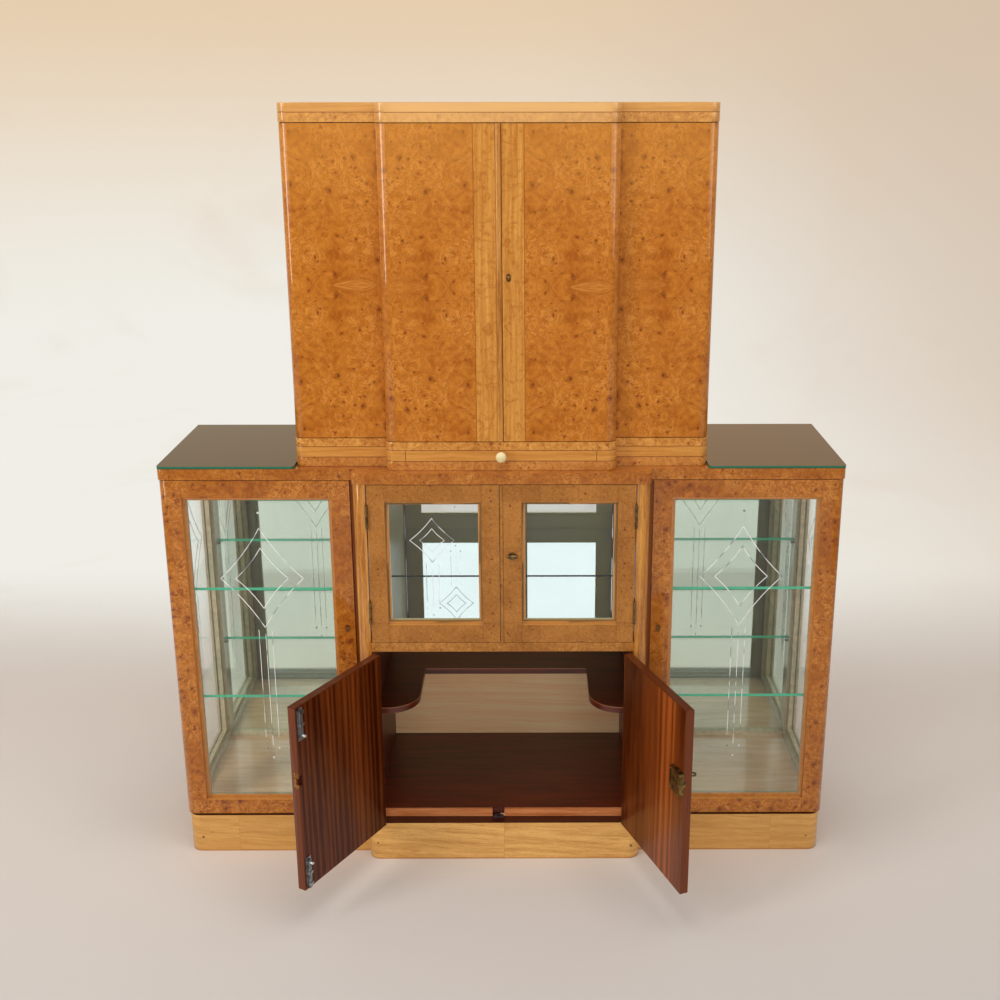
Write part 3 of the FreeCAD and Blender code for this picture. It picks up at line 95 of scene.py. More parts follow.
class CabinetVeneers(bpy.types.PropertyGroup):
    """Colours of the show wood."""

    burl_pale: colour("Burl, pale", "Light figure of the upper doors' burl", 205, 127, 38)
    burl_deep: colour("Burl, deep", "Darker ground of the upper doors' burl", 164, 88, 16)
    burl_curl: colour("Burl, curls", "Thin bright curls in the burl", 228, 160, 78)
    burl_knot: colour("Burl, knots", "Small knots in the burl", 104, 34, 9)
    frame_pale: colour("Door frames, pale", "Light figure of the vitrine door frames", 190, 114, 28)
    frame_deep: colour("Door frames, deep", "Darker ground of the vitrine door frames", 142, 72, 8)
    band_pale: colour("Bands, pale", "Straight-grained golden bands", 224, 160, 76)
    band_deep: colour("Bands, deep", "Darker streaks of the golden bands", 182, 112, 34)
    # The colour below is lighter wood with painted top light: it lightens the topmost bands as a painted
    # highlight.
    top_pale_and_lit: colour("Top band", "Paler wood of the topmost bands", 238, 188, 122)
    centre_pale: colour("Centre doors, pale", "Fine-grained wood of the glazed centre doors", 184, 122, 54)
    centre_deep: colour("Centre doors, deep", "Darker grain of the glazed centre doors", 142, 86, 28)
    plinth_pale: colour("Plinth, pale", "Blond wood of the plinth", 240, 190, 112)
    plinth_deep: colour("Plinth, deep", "Grain of the plinth", 192, 136, 66)


class CabinetInsides(bpy.types.PropertyGroup):
    """Colours of the inner wood."""

    ribbon_pale: colour("Door lining, pale", "Light ribbons of the cupboard doors' lining", 176, 90, 34)
    ribbon_deep: colour("Door lining, deep", "Dark ribbons of the cupboard doors' lining", 56, 15, 2)
    door_lip: colour("Door lipping", "Plain red-brown edges of the cupboard doors", 86, 38, 18)
    dark_pale: colour("Cupboard, pale", "Lighter grain of the dark cupboard boards", 110, 40, 16)
    dark_deep: colour("Cupboard, deep", "Darker grain of the dark cupboard boards", 58, 17, 5)
    panel_pale: colour("Back panel, pale", "Light figure of the back panels", 255, 226, 178)
    panel_deep: colour("Back panel, deep", "Darker figure of the back panels", 246, 188, 132)
    floor_pale: colour("Vitrine floor, pale", "Polished floors of the vitrines", 240, 210, 172)
    floor_deep: colour("Vitrine floor, deep", "Grain of the vitrine floors", 214, 174, 130)
    cream: colour("Cream paint", "Painted beads round the side glass", 218, 204, 168)
    olive: colour("Olive paint", "Paint inside the vitrines", 152, 148, 112)
    green_paint: colour("Green paint", "Paint inside the glazed compartment", 214, 212, 160)
    lipping: colour("Lipping", "Red-brown edge of the cupboard floor", 236, 156, 98)


class CabinetGlazing(bpy.types.PropertyGroup):
    """Sizes and colours of the glass and of what is cut into it."""

    cut_width: length("Cut width", "Width of a line cut into the glass", 0.0018)
    cut_depth: length("Cut depth", "Depth of a line cut into the glass", 0.0009)
    bow: length("Bow", "How far each side of a large diamond bows inwards", 0.0055)
    edge: colour("Glass edge", "Green of a glass edge", 60, 178, 136)
    smoke: colour("Smoked mirror", "Reflection of the mirror-glass tops", 116, 92, 58)
    silver: colour("Mirror", "Reflection of the plain mirrors", 248, 252, 251)


class CabinetFittings(bpy.types.PropertyGroup):
    """Sizes of the small fittings."""

    screw_head: length("Screw head", "Radius of a hinge screw's head", 0.0021)
    plug: length("Plug", "Radius of a plugged nail in the plinth", 0.0032)
    eased_edge: length("Eased edge", "Width that sharp edges are eased by", 0.0009)


class CabinetStudio(bpy.types.PropertyGroup):
    """The studio that the cabinet stands in."""

    wall: colour("Wall", "Pale plaster wall", 234, 222, 210)
    floor: colour("Floor", "Pale floor", 204, 199, 194)


SETTINGS = {
    "cabinet_veneers": CabinetVeneers,
    "cabinet_insides": CabinetInsides,
    "cabinet_glazing": CabinetGlazing,
    "cabinet_fittings": CabinetFittings,
    "cabinet_studio": CabinetStudio,
}
BURL = ("burl_pale", "burl_deep", "burl_curl", "burl_knot")
FRAME_BURL = ("frame_pale", "frame_deep", "burl_curl", "burl_knot")
CENTRE_WOOD = ("centre_pale", "centre_deep", "burl_curl", "burl_knot")


def colours(group, *names):
    """Several colour settings as plain numbers."""
    return [tuple(getattr(group, name)) for name in names]


def maths(operation, swapped=False):
    """A method of Reading that adds one Math node."""

    def method(self, other=0.0):
        first, second = (other, self) if swapped else (self, other)
        return self.finish.node("ShaderNodeMath", {"operation": operation}, {0: first, 1: second})

    return method


class Reading:
    """A value inside a material. Sums on it add the Math nodes."""

    def __init__(self, finish, socket):
        self.finish = finish
        self.socket = socket

    __add__ = __radd__ = maths("ADD")
    __sub__ = maths("SUBTRACT")
    __rsub__ = maths("SUBTRACT", swapped=True)
    __mul__ = __rmul__ = maths("MULTIPLY")
    __truediv__ = maths("DIVIDE")
    __pow__ = maths("POWER")
    __gt__ = maths("GREATER_THAN")
    __lt__ = maths("LESS_THAN")
    __abs__ = maths("ABSOLUTE")
    floor = maths("FLOOR")
    fraction = maths("FRACT")
    largest = maths("MAXIMUM")


class Finish:
    """One material, made node by node."""

    def __init__(self, name):
        self.material = bpy.data.materials.new(name)
        self.material.use_nodes = True
        self.tree = self.material.node_tree
        self.tree.nodes.clear()
        self.point = self.node("ShaderNodeTexCoord", take="Object")

    def node(self, kind, settings=None, sockets=None, take=0):
        """Any node: its type, its settings, the values or links of its sockets, and the outputs to take."""
        made = self.tree.nodes.new(kind)
        for name, value in (settings or {}).items():
            setattr(made, name, value)
        for name, value in (sockets or {}).items():
            if isinstance(value, Reading):
                self.tree.links.new(value.socket, made.inputs[name])
            else:
                made.inputs[name].default_value = value
        if isinstance(take, tuple):
            return [Reading(self, made.outputs[name]) for name in take]
        return None if take is None else Reading(self, made.outputs[take])

    def turned(self, corner, angle):
        """The point as measured from a corner, along a board that stands turned by an angle."""
        return self.node(
            "ShaderNodeMapping",
            {"vector_type": "TEXTURE"},
            {"Vector": self.point, "Location": corner, "Rotation": (0.0, 0.0, angle)},
        )

    def axes(self, point=None):
        """The three coordinates of a point, which is the surface's own unless another is given."""
        return self.node("ShaderNodeSeparateXYZ", None, {0: point or self.point}, (0, 1, 2))

    def joined(self, x, y, z):
        return self.node("ShaderNodeCombineXYZ", None, {0: x, 1: y, 2: z})

    def scaled(self, point, *factors):
        return self.node("ShaderNodeVectorMath", {"operation": "MULTIPLY"}, {0: point, 1: factors})

    def noise(self, point, scale, detail=2.0, roughness=0.5, distortion=0.0, take="Fac"):
        sockets = {"Vector": point, "Scale": scale, "Detail": detail}
        sockets.update(Roughness=roughness, Distortion=distortion)
        return self.node("ShaderNodeTexNoise", None, sockets, take)

    def chance(self, x, y, z):
        """A random value that is the same all over one whole step of x, y and z."""
        point = self.joined(x, y, z)
        return self.node("ShaderNodeTexWhiteNoise", {"noise_dimensions": "3D"}, {"Vector": point}, "Value")

    def cells(self, point, scale):
        """The distance to the nearest of many scattered points, and that point's own random value."""
        x, y, z = self.axes(point)
        distance, shade = self.node(
            "ShaderNodeTexVoronoi",
            {"voronoi_dimensions": "2D"},
            {"Vector": self.joined(x + y, z + 0.7 * y, 0.0), "Scale": scale},
            ("Distance", "Color"),
        )
        return distance, self.node("ShaderNodeSeparateColor", None, {0: shade}, 0)

    def pushed(self, point, scale, amount):
        """The point pushed about by noise, so that a pattern on it curls."""
        push = self.noise(point, scale, take="Color")
        centred = self.node("ShaderNodeVectorMath", {"operation": "SUBTRACT"}, {0: push, 1: (0.5, 0.5, 0.5)})
        return self.node(
            "ShaderNodeVectorMath", {"operation": "MULTIPLY_ADD"}, {0: centred, 1: (amount,) * 3, 2: point}
        )

    def rise(self, value, start, end):
        """From 0 to 1 as the value goes from start to end, which may be the lower of the two."""
        return self.node(
            "ShaderNodeMapRange",
            {"interpolation_type": "SMOOTHSTEP"},
            {"Value": value, "From Min": start, "From Max": end},
        )

    def line(self, value, place, outer=0.0007, inner=0.0002):
        """1 on a thin line where the value passes a place, fading to 0 beside it."""
        return self.rise(abs(value - place), outer, inner)

    def mix(self, share, first, second):
        """Two colours, from the first at 0 to the second at 1."""
        return self.node(
            "ShaderNodeMix",
            {"data_type": "RGBA", "blend_type": "MIX", "clamp_factor": True},
            {0: share, 6: first, 7: second},
            2,
        )

    def blended(self, share, first, second):
        """Two shaders, from the first at 0 to the second at 1."""
        return self.node("ShaderNodeMixShader", None, {0: share, 1: first, 2: second})

    def out(self, shader):
        self.node("ShaderNodeOutputMaterial", None, {"Surface": shader}, None)
        return self.material

    def principled(self, shade, roughness, height=None, strength=0.2, depth=0.0003, **more):
        sockets = {"Base Color": shade, "Roughness": roughness}
        sockets.update({name.replace("_", " "): value for name, value in more.items()})
        if height is not None:
            sockets["Normal"] = self.node(
                "ShaderNodeBump", None, {"Strength": strength, "Distance": depth, "Height": height}
            )
        return self.node("ShaderNodeBsdfPrincipled", None, sockets)


# Woods. Each recipe gives a colour and a height for the bump.
def burl(finish, point, shades, knots=0.5, size=1.0):
    """Curly burl with scattered small knots. knots is the share of places that hold one."""
    pale, deep, curl, knot = shades
    broad = finish.noise(point, 6 / size, 3.0, 0.6, 0.4)
    flowed = finish.pushed(point, 17 / size, 0.034 * size)
    curled = finish.pushed(flowed, 60 / size, 0.015 * size)
    grain = finish.noise(curled, 74 / size, 5.0, 0.68, 0.5)
    tone = 0.5 + (grain - 0.5) * 2.9 + (broad - 0.5) * 1.1
    shade = finish.mix(tone, deep, pale)
    thread = finish.noise(curled, 54 / size, 3.0, 0.6, 1.2)
    bright = finish.line(thread, 0.5, 0.05, 0.004) * finish.rise(broad, 0.38, 0.58)
    shade = finish.mix(bright * 0.46, shade, curl)
    shade = finish.mix(finish.line(thread, 0.6, 0.03, 0.004) * 0.3, shade, deep)
    nudged = finish.pushed(point, 110 / size, 0.007 * size)
    grouped = finish.rise(finish.noise(point, 13 / size, 1.0), 0.3, 0.66)
    marks = None
    for scale, radius, share in ((23.0, 0.115, 0.52), (47.0, 0.13, 0.45), (95.0, 0.16, 0.14)):
        distance, chance = finish.cells(nudged, scale / size)
        here = chance < grouped * knots * share
        ring = finish.line(distance, radius, radius * 0.35, 0.0)
        core = finish.rise(distance, radius * 0.85, radius * 0.4)
        mark = here * (core * 0.9 + ring * 0.5)
        halo = here * finish.rise(distance, radius * 2.4, radius)
        shade = finish.mix(halo * 0.45, shade, deep)
        marks = mark if marks is None else marks.largest(mark)
    shade = finish.mix(marks * 0.9, shade, knot)
    return shade, grain - marks * 0.6


def straight(finish, point, stretch, shades, line=0.5):
    """Straight grain. stretch is how fast the grain changes along each axis."""
    pale, deep = shades
    along = finish.scaled(finish.pushed(point, 5.0, 0.012), *stretch)
    broad = finish.noise(along, 1.0, 3.0, 0.55)
    fine = finish.noise(along, 6.0, 3.0, 0.7)
    fleck = finish.noise(along, 19.0, 1.0)
    tone = 0.5 + (broad - 0.5) * 1.7 + (fine - 0.5) * 1.1 + (fleck - 0.5) * line
    return finish.mix(tone, deep, pale), fine


def painted_seam_shadows(finish, shade, z, dark):
    """Thin dark lines where the boards of the upper case lie on each other: dark joints, with the shadow in
    the reveals between the boards painted in.
    """
    lines = None
    for level in BAND_LEVELS:
        line = finish.line(z, level, 0.0010, 0.0004)
        lines = line if lines is None else lines.largest(line)
    return finish.mix(lines * 0.75, shade, dark)


def framing(finish, x, y, z, glass, line):
    """Round a pane and its mirror image: the rails, the butt joints of rails and stiles, and the reveal,
    which callers lighten as painted light over its shade.
    """
    low, high = reach(glass)
    middle, half = (low + high) / 2, (high - low) / 2
    aside = abs(abs(x) - middle.x)
    rails = (z > high.z) + (z < low.z)
    joints = finish.line(aside, half.x, line) * rails
    spare = 0.0002
    within = (aside < half.x + spare) * (abs(z - middle.z) < half.z + spare)
    return rails, joints, within * (y < high.y + 0.0004)


def placed(name, data):
    """An object in the scene that shows a mesh, a lamp or a camera."""
    made = bpy.data.objects.new(name, data)
    bpy.context.scene.collection.objects.link(made)
    return made


def built(name, bm, material, gap):
    """A finished bmesh as an object, with corners that are closer than a gap joined."""
    bmesh.ops.remove_doubles(bm, verts=bm.verts[:], dist=gap)
    bmesh.ops.recalc_face_normals(bm, faces=bm.faces[:])
    mesh = bpy.data.meshes.new(name)
    bm.to_mesh(mesh)
    bm.free()
    mesh.materials.append(material)
    return placed(name, mesh)


def piece(name, bm, body, material):
    """A finished bmesh as a piece that rides on a body."""
    made = built(name, bm, material, 0.00001)
    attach(made, body)


def dress(material, *nodes):
    """Gives CAD nodes a finish."""
    for name in nodes:
        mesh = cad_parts[name].data
        mesh.materials.clear()
        mesh.materials.append(material)


# Polished nodes that keep their edges as they were built.
UNEASED = ("upper_sides", "side_frames", "glazed_door_meeting_bead", "upper_astragal")


def polish(finish, shade, height, *nodes, coat=0.9, gloss=0.06):
    """Lacquered wood on CAD nodes, with eased edges."""
    shader = finish.principled(
        shade, 0.3, height, 0.12, 0.0004, Coat_Weight=coat, Coat_Roughness=gloss, Specular_IOR_Level=0.15
    )
    dress(finish.out(shader), *nodes)
    width = bpy.context.scene.cabinet_fittings.eased_edge
    ease(width, *[name for name in nodes if name not in UNEASED])


def wax(finish, shade, height, roughness, *nodes, strength=0.15, **more):
    """Plain or painted wood on CAD nodes."""
    dress(finish.out(finish.principled(shade, roughness, height, strength, **more)), *nodes)


def ease(width, *nodes):
    """Eases the sharp edges of CAD nodes."""
    for name in nodes:
        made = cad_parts[name]
        made.modifiers.new("weld", "WELD").merge_threshold = 0.00001
        bevel = made.modifiers.new("eased edges", "BEVEL")
        bevel.width = width
        bevel.segments = 2
        bevel.limit_method = "ANGLE"
        bevel.angle_limit = math.radians(35)
        bevel.loop_slide = False


def pivot(side):
    """The hinge line of a cupboard door, at floor level."""
    return Vector((SWINGS[side][0] * HINGE_ACROSS, HINGE_BACK, 0.0))


def hung(side):
    """Where a piece measured on the closed cupboard door lies while the door stands open."""
    turn = Matrix.Rotation(SWINGS[side][1], 4, "Z")
    return Matrix.Translation(pivot(side)) @ turn @ Matrix.Translation(-pivot(side))


def upper_burl(woods):
    """The upper doors and sides: matched burl, golden banding by the meeting edges, plain lining inside."""
    finish = Finish("upper_burl")
    shades = colours(woods, *BURL)
    pale, deep, curl, knot = shades
    gold_shades = colours(woods, "band_pale", "band_deep")
    x, y, z = finish.axes()
    across = abs(x)
    aside = abs(across - STEP)
    above = abs(z - EYE_LEVEL)
    centre = across < STEP - LEAF + 0.001
    depth = y - (centre * CENTRE_FRONT + (1 - centre) * SIDE_FRONT)
    shade, height = burl(finish, finish.joined(aside, abs(depth), above), shades, 0.62)
    # Painted highlight: the burl is mixed towards golden near the top, standing in for top light on the
    # lacquer.
    shade = finish.mix(finish.rise(z, 1.38, 1.64) * 0.28, shade, gold_shades[0])
    # the feathered eye where the four leaves of veneer meet
    eye_middle, eye_half, eye_rise = 0.053, 0.047, 0.022
    bulge = (1 - abs((aside - eye_middle) / eye_half) ** 2.0).largest(0.001)
    ratio = above / (bulge * eye_rise)
    strong = (x < -STEP) + (x > 0.0) * (x < STEP)
    feathers = finish.noise(finish.joined(ratio * 2.4, aside * 15, 4.0), 1.0, 2.0, 0.6, 0.5)
    eye = finish.mix(finish.rise(feathers, 0.36, 0.64), deep, finish.mix(0.45, pale, curl))
    shade = finish.mix(finish.rise(ratio, 1.3, 0.5) * (0.35 + 0.4 * strong), shade, eye)
    # golden banding, with a dark string at its outer edge
    gold, _ = straight(finish, finish.point, (150.0, 60.0, 5.0), gold_shades, 0.9)
    mottle = finish.rise(finish.noise(finish.point, 40.0, 4.0, 0.7, 1.5), 0.46, 0.7)
    shade = finish.mix(across < BANDING, shade, finish.mix(mottle * 0.6, gold, deep))
    shade = finish.mix(finish.line(across, BANDING, inner=0.0003) * 0.8, shade, knot)
    # plain lining on the inner faces of the doors, and of the sides behind them
    doors_back, lined_half = -0.1305, 0.4146
    lined = (depth > LEAF - 0.0006) * (y < doors_back) + (across < lined_half) * (y > doors_back)
    lining, _ = straight(finish, finish.point, (90.0, 60.0, 4.0), gold_shades)
    polish(
        finish, finish.mix(lined, shade, lining), height, "upper_door_left", "upper_door_right", "upper_sides"
    )


class CABINET_OT_upper_doors(bpy.types.Operator):
    """Four-way matched burl of the upper doors, with the golden banding by the meeting edges"""

    bl_idname = "cabinet.upper_doors"
    bl_label = "Upper doors"

    def execute(self, context):
        upper_burl(context.scene.cabinet_veneers)
        return {"FINISHED"}


def golden_band(woods):
    """Straight-grained bands: the top, and the slide with its cheeks."""
    finish = Finish("golden_band")
    top, knot = colours(woods, "top_pale_and_lit", "burl_knot")
    x, y, z = finish.axes()
    upper = z > EYE_LEVEL
    flat = z > reach("upper_top")[1].z - 0.0006
    grained = finish.joined(x, y, z + flat * y * 0.45)
    shade, height = straight(finish, grained, (7.0, 7.0, 190.0), colours(woods, "band_pale", "band_deep"))
    # Painted highlight: the top bands are mixed towards their lighter colour, most in the middle, standing in
    # for the top light that falls on them.
    top_lit_share = upper * (0.3 + 0.5 * finish.rise(abs(x), 0.25, 0.2) * (1 - flat))
    shade = painted_seam_shadows(finish, finish.mix(top_lit_share, shade, top), z, knot)
    slide_end = reach("mixing_slide_front")[1].x + 0.0002
    butt = finish.line(abs(x), slide_end, 0.0009, 0.0003) * (1 - upper)
    shade = finish.mix(butt * 0.7, shade, knot)
    coat = 0.9 - flat * 0.65
    polish(finish, shade, height, "upper_top", "slide_housing", "mixing_slide_front", coat=coat)


def pale_burl(woods):
    """Paler burl bands: base, floor and frieze of the upper case."""
    finish = Finish("pale_burl")
    shades = colours(woods, "band_pale", "burl_deep", "burl_curl", "burl_knot")
    brown, knot = shades[1], shades[3]
    x, _, z = finish.axes()
    shade, height = burl(finish, finish.point, shades, 0.3, 0.7)
    # Painted highlight: the frieze is lightened, most in the middle, standing in for the top light that falls
    # on it.
    top_lit_share = (z > EYE_LEVEL) * (0.2 + 0.35 * finish.rise(abs(x), 0.25, 0.2))
    shade = finish.mix(top_lit_share, shade, *colours(woods, "top_pale_and_lit"))
    shade = finish.mix((z < BAND_LEVELS[1] + 0.001) * 0.25, shade, brown)
    polish(finish, painted_seam_shadows(finish, shade, z, knot), height, "upper_base", "upper_floor", "upper_frieze")


class CABINET_OT_bands(bpy.types.Operator):
    """Golden straight-grained bands and paler burl bands above and below the upper doors"""

    bl_idname = "cabinet.bands"
    bl_label = "Bands"

    def execute(self, context):
        golden_band(context.scene.cabinet_veneers)
        pale_burl(context.scene.cabinet_veneers)
        return {"FINISHED"}


def frame_burl(woods, inner):
    """The vitrine doors and the glazed sides: burl outside, paint inside."""
    finish = Finish("frame_burl")
    shades = colours(woods, *FRAME_BURL)
    curl, knot = shades[2:]
    cream, olive = colours(inner, "cream", "olive")
    x, y, z = finish.axes()
    shade, height = burl(finish, finish.point, shades, 0.75)
    _, joints, reveal = framing(finish, x, y, z, "vitrine_door_right_glass", 0.0008)
    inside_middle, inside_half, sides_half = 0.512, 0.1886, 0.2150
    doors_middle, sides_front, doors_back, inside_top = -0.1636, -0.1505, -0.14, 0.894
    shade = finish.mix(joints * (y < doors_back) * 0.6, shade, knot)
    # Painted light: the reveal round the pane is lightened towards the curl colour to cover the shade that
    # falls in it.
    shade = finish.mix(reveal * 0.5, shade, curl)
    beyond = abs(abs(x) - inside_middle)
    within = (beyond < inside_half) + (beyond < sides_half) * (y > sides_front + 0.0005)
    within = within * (y > doors_middle) * (z < inside_top)
    paintwork = finish.mix(finish.noise(finish.point, 60.0, 3.0), cream, olive)
    paintwork = finish.mix((y < sides_front) * 0.8, paintwork, olive)
    shade = finish.mix(within, shade, paintwork)
    polish(finish, shade, height, "vitrine_door_left_frame", "vitrine_door_right_frame", "side_frames")


def board_burl(name, woods, palette, knots, node, **gloss):
    """Burl on one board."""
    finish = Finish(name)
    shade, height = burl(finish, finish.point, colours(woods, *palette), knots, 0.6)
    polish(finish, shade, height, node, **gloss)


class CABINET_OT_vitrine_frames(bpy.types.Operator):
    """Orange-brown burl of the vitrine doors, the glazed sides and the lower top, painted inside"""

    bl_idname = "cabinet.vitrine_frames"
    bl_label = "Vitrine frames"

    def execute(self, context):
        frame_burl(context.scene.cabinet_veneers, context.scene.cabinet_insides)
        board_burl("top_burl", context.scene.cabinet_veneers, FRAME_BURL, 0.3, "lower_top")
        return {"FINISHED"}


def centre_door_wood(woods, inner):
    """The glazed centre doors: short leaves of fine-grained veneer that differ a little, paint inside."""
    finish = Finish("centre_door_wood")
    pale, deep, curl, knot = colours(woods, *CENTRE_WOOD)
    x, y, z = finish.axes()
    grain = finish.noise(finish.pushed(finish.point, 60.0, 0.012), 190.0, 4.0, 0.7)
    broad = finish.noise(finish.point, 17.0, 3.0)
    rails, joints, reveal = framing(finish, x, y, z, "glazed_door_right_glass", 0.0007)
    stiles = 1 - rails
    leaf_width, leaf_height = 0.081, 0.097
    along, up = x / leaf_width, z / leaf_height
    leaf = finish.chance(along.floor(), 0.0, 7.0) * rails + finish.chance(0.0, up.floor(), 3.0) * stiles
    tone = 0.5 + (grain - 0.5) * 2.4 + (broad - 0.5) * 1.5 + (leaf - 0.5) * 0.25
    shade = finish.mix(tone, deep, pale)
    for scale, radius, share in ((46.0, 0.1, 0.35), (25.0, 0.09, 0.3)):
        distance, chance = finish.cells(finish.pushed(finish.point, 90.0, 0.004), scale)
        spot = finish.rise(distance, radius, radius * 0.4) * (chance < share)
        shade = finish.mix(spot * 0.8, shade, knot)
    butts = finish.line(along.fraction(), 0.5, 0.486, 0.497) * rails
    butts = butts + finish.line(up.fraction(), 0.5, 0.488, 0.498) * stiles
    shade = finish.mix((joints + butts * 0.5) * 0.5, shade, knot)
    # Painted light: the reveal round the pane is lightened towards the curl colour to cover the shade that
    # falls in it.
    shade = finish.mix(reveal * 0.6, shade, curl)
    door_middle, inside_half, panes_middle = 0.144, 0.137, -0.1996
    inside = (abs(abs(x) - door_middle) < inside_half) * (y > panes_middle)
    shade = finish.mix(inside, shade, *colours(inner, "green_paint"))
    hinge_edge = abs(x) > reach("glazed_door_right_frame")[1].x - 0.0005
    doors = ("glazed_door_left_frame", "glazed_door_right_frame", "glazed_door_meeting_bead")
    polish(finish, shade, grain, *doors, coat=0.4 - hinge_edge * 0.4, gloss=0.12)


def post_wood(woods):
    """The rounded posts, browner and unpolished towards the opening, and the upper astragal."""
    finish = Finish("post_wood")
    shades = colours(woods, "band_pale", "frame_deep")
    shade, height = straight(finish, finish.point, (120.0, 120.0, 4.5), shades, 0.9)
    side = abs(finish.axes()[0])
    bare = (side < OPENING + 0.0009) * (side > 0.1)
    shade = finish.mix(bare * 0.7, shade, shades[1])
    polish(finish, shade, height, "centre_posts", "upper_astragal", coat=0.9 - bare * 0.9)


def plinth_wood(woods, inner):
    """The blond plinth: boards butted at the middle and in each wing, with painted shade on the set-back
    wings, a painted shadow on its top face and a painted contact shadow along the foot.
    """
    finish = Finish("plinth_wood")
    blond, grained, brown = colours(woods, "plinth_pale", "plinth_deep", "burl_deep")
    x, y, z = finish.axes()
    joints = (0.0, -0.61, 0.61)
    board = (x > joints[0]) + (x > joints[1]) + (x > joints[2])
    slanted = finish.joined(x + board * 3.7, y, z + x * 0.05 + board * 0.31)
    shade, height = straight(finish, slanted, (7.0, 7.0, 120.0), (blond, grained), 0.9)
    drawn = finish.scaled(finish.pushed(slanted, 9.0, 0.03), 13.0, 13.0, 420.0)
    shade = finish.mix(finish.rise(finish.noise(drawn, 1.0, 3.0, 0.6), 0.56, 0.68) * 0.5, shade, brown)
    shade = finish.mix((finish.noise(slanted, 5.0) - 0.4) * 0.6, shade, blond)
    for place in joints:
        shade = finish.mix(finish.line(x, place) * 0.4, shade, brown)
    # Painted shade: the set-back wings of the plinth are darkened towards its grain colour.
    wings = abs(x) > reach("centre_posts")[1].x + 0.0001
    shade = finish.mix(wings * 0.4, shade, grained)
    # Painted shadow: the plinth's top face, under the doors, is given the darkest cupboard colour.
    shade = finish.mix(z > reach("plinth")[1].z - SKIN, shade, *colours(inner, "dark_deep"))
    # Painted contact shadow along the plinth's foot.
    foot_shadow_high, foot_shadow_low = 0.0045, 0.001
    shade = finish.mix(finish.rise(z, foot_shadow_high, foot_shadow_low) * 0.65, shade, brown)
    polish(finish, shade, height, "plinth", coat=0.5, gloss=0.14)


class CABINET_OT_centre_woods(bpy.types.Operator):
    """Fine-grained centre doors, their bead, the posts, the rail and the plinth"""

    bl_idname = "cabinet.centre_woods"
    bl_label = "Centre doors and posts"

    def execute(self, context):
        woods = context.scene.cabinet_veneers
        centre_door_wood(woods, context.scene.cabinet_insides)
        post_wood(woods)
        board_burl("rail_wood", woods, CENTRE_WOOD, 0.15, "centre_rail", coat=0.4, gloss=0.1)
        plinth_wood(woods, context.scene.cabinet_insides)
        return {"FINISHED"}


def ribbon_lining(side, woods, inner):
    """A cupboard door: ribbon-striped lining inside, burl outside, plain lippings round the edge."""
    finish = Finish("ribbon_lining_" + side)
    closed = finish.turned(pivot(side), SWINGS[side][1])
    x, y, z = finish.axes(closed)
    along = abs(x)
    ribbon = 0.0165 if side == "left" else 0.024
    wavy = finish.pushed(closed, 3.0, 0.008)
    drift = finish.noise(finish.scaled(wavy, 26.0, 20.0, 0.8), 1.0)
    stripes = finish.line((along / ribbon + drift * 2.2).fraction(), 0.5, 0.1, 0.42)
    fine = finish.noise(finish.scaled(wavy, 700.0, 300.0, 9.0), 1.0, 3.0, 0.6)
    broad = finish.noise(finish.scaled(wavy, 18.0, 10.0, 1.0), 1.0, 1.0)
    if side == "left":
        tone = -0.04 + stripes * 0.2 + (fine - 0.5) * 0.7 + (broad - 0.35) * 0.6
    else:
        lively = finish.rise(along, 0.14, 0.19) * finish.rise(along, 0.262, 0.246)
        tone = lively * (0.22 + stripes * 0.4) + stripes * 0.08 + (fine - 0.5) * 1.1 + (broad - 0.3) * 0.9
    deep, pale, plain = colours(inner, "ribbon_deep", "ribbon_pale", "door_lip")
    shade = finish.mix(tone, deep, pale)
    low, high = reach("cupboard_door_" + side)
    ends = (z > high.z - 0.0015) + (z < low.z + 0.0012)
    hinge_lip, meeting_lip = 0.0022, 0.2815
    lips = ends + (along < hinge_lip) + (along > meeting_lip)
    lip = finish.mix(ends * 0.45, finish.mix(fine * 0.35, plain, pale), deep)
    shade = finish.mix(lips, shade, lip)
    burled, _ = burl(finish, closed, colours(woods, *FRAME_BURL), 0.6)
    face, lining = 0.0036, 0.0205
    shade = finish.mix(y < face, shade, burled)
    polish(finish, shade, fine, "cupboard_door_" + side, coat=0.3 - (y > lining) * 0.16, gloss=0.09)


def dark_board(inner):
    """The dark boards inside the cupboard, with a paler rim under the shelf's front edge."""
    finish = Finish("dark_board")
    shades = colours(inner, "dark_pale", "dark_deep")
    shade, height = straight(finish, finish.point, (5.0, 60.0, 90.0), shades, 0.6)
    z = finish.axes()[2]
    shelf_top = reach("cupboard_shelf")[1].z
    rim = finish.line(z, shelf_top - 0.0014, 0.0016, 0.0009) * (z < shelf_top - 0.0001)
    shade = finish.mix(rim * 0.25, shade, *colours(inner, "lipping"))
    boards = ("cupboard_floor", "cupboard_shelf", "cupboard_shelf_cleats", "compartment_floor")
    wax(finish, shade, height, 0.38, *boards, Coat_Weight=0.25, Coat_Roughness=0.2)


def partition_faces(woods, inner):
    """The partitions: dark in the cupboard, green paint above it, cream paint in the vitrines."""
    finish = Finish("partition_faces")
    cream, olive, green = colours(inner, "cream", "olive", "green_paint")
    x, y, z = finish.axes()
    shades = colours(inner, "dark_pale", "dark_deep")
    shade, height = straight(finish, finish.point, (60.0, 5.0, 90.0), shades, 0.6)
    flecks = finish.noise(finish.point, 240.0, 3.0)
    paint_line = 0.5253
    shade = finish.mix(z > paint_line, shade, finish.mix(flecks * 0.25, green, cream))
    shade = finish.mix(abs(x) > 0.3, shade, finish.mix(flecks * 0.3, cream, olive))
    front_edge = y < reach("partitions")[0].y + 0.006
    shade = finish.mix(front_edge, shade, *colours(woods, "frame_deep"))
    wax(finish, shade, height, 0.42, "partitions", strength=0.1)


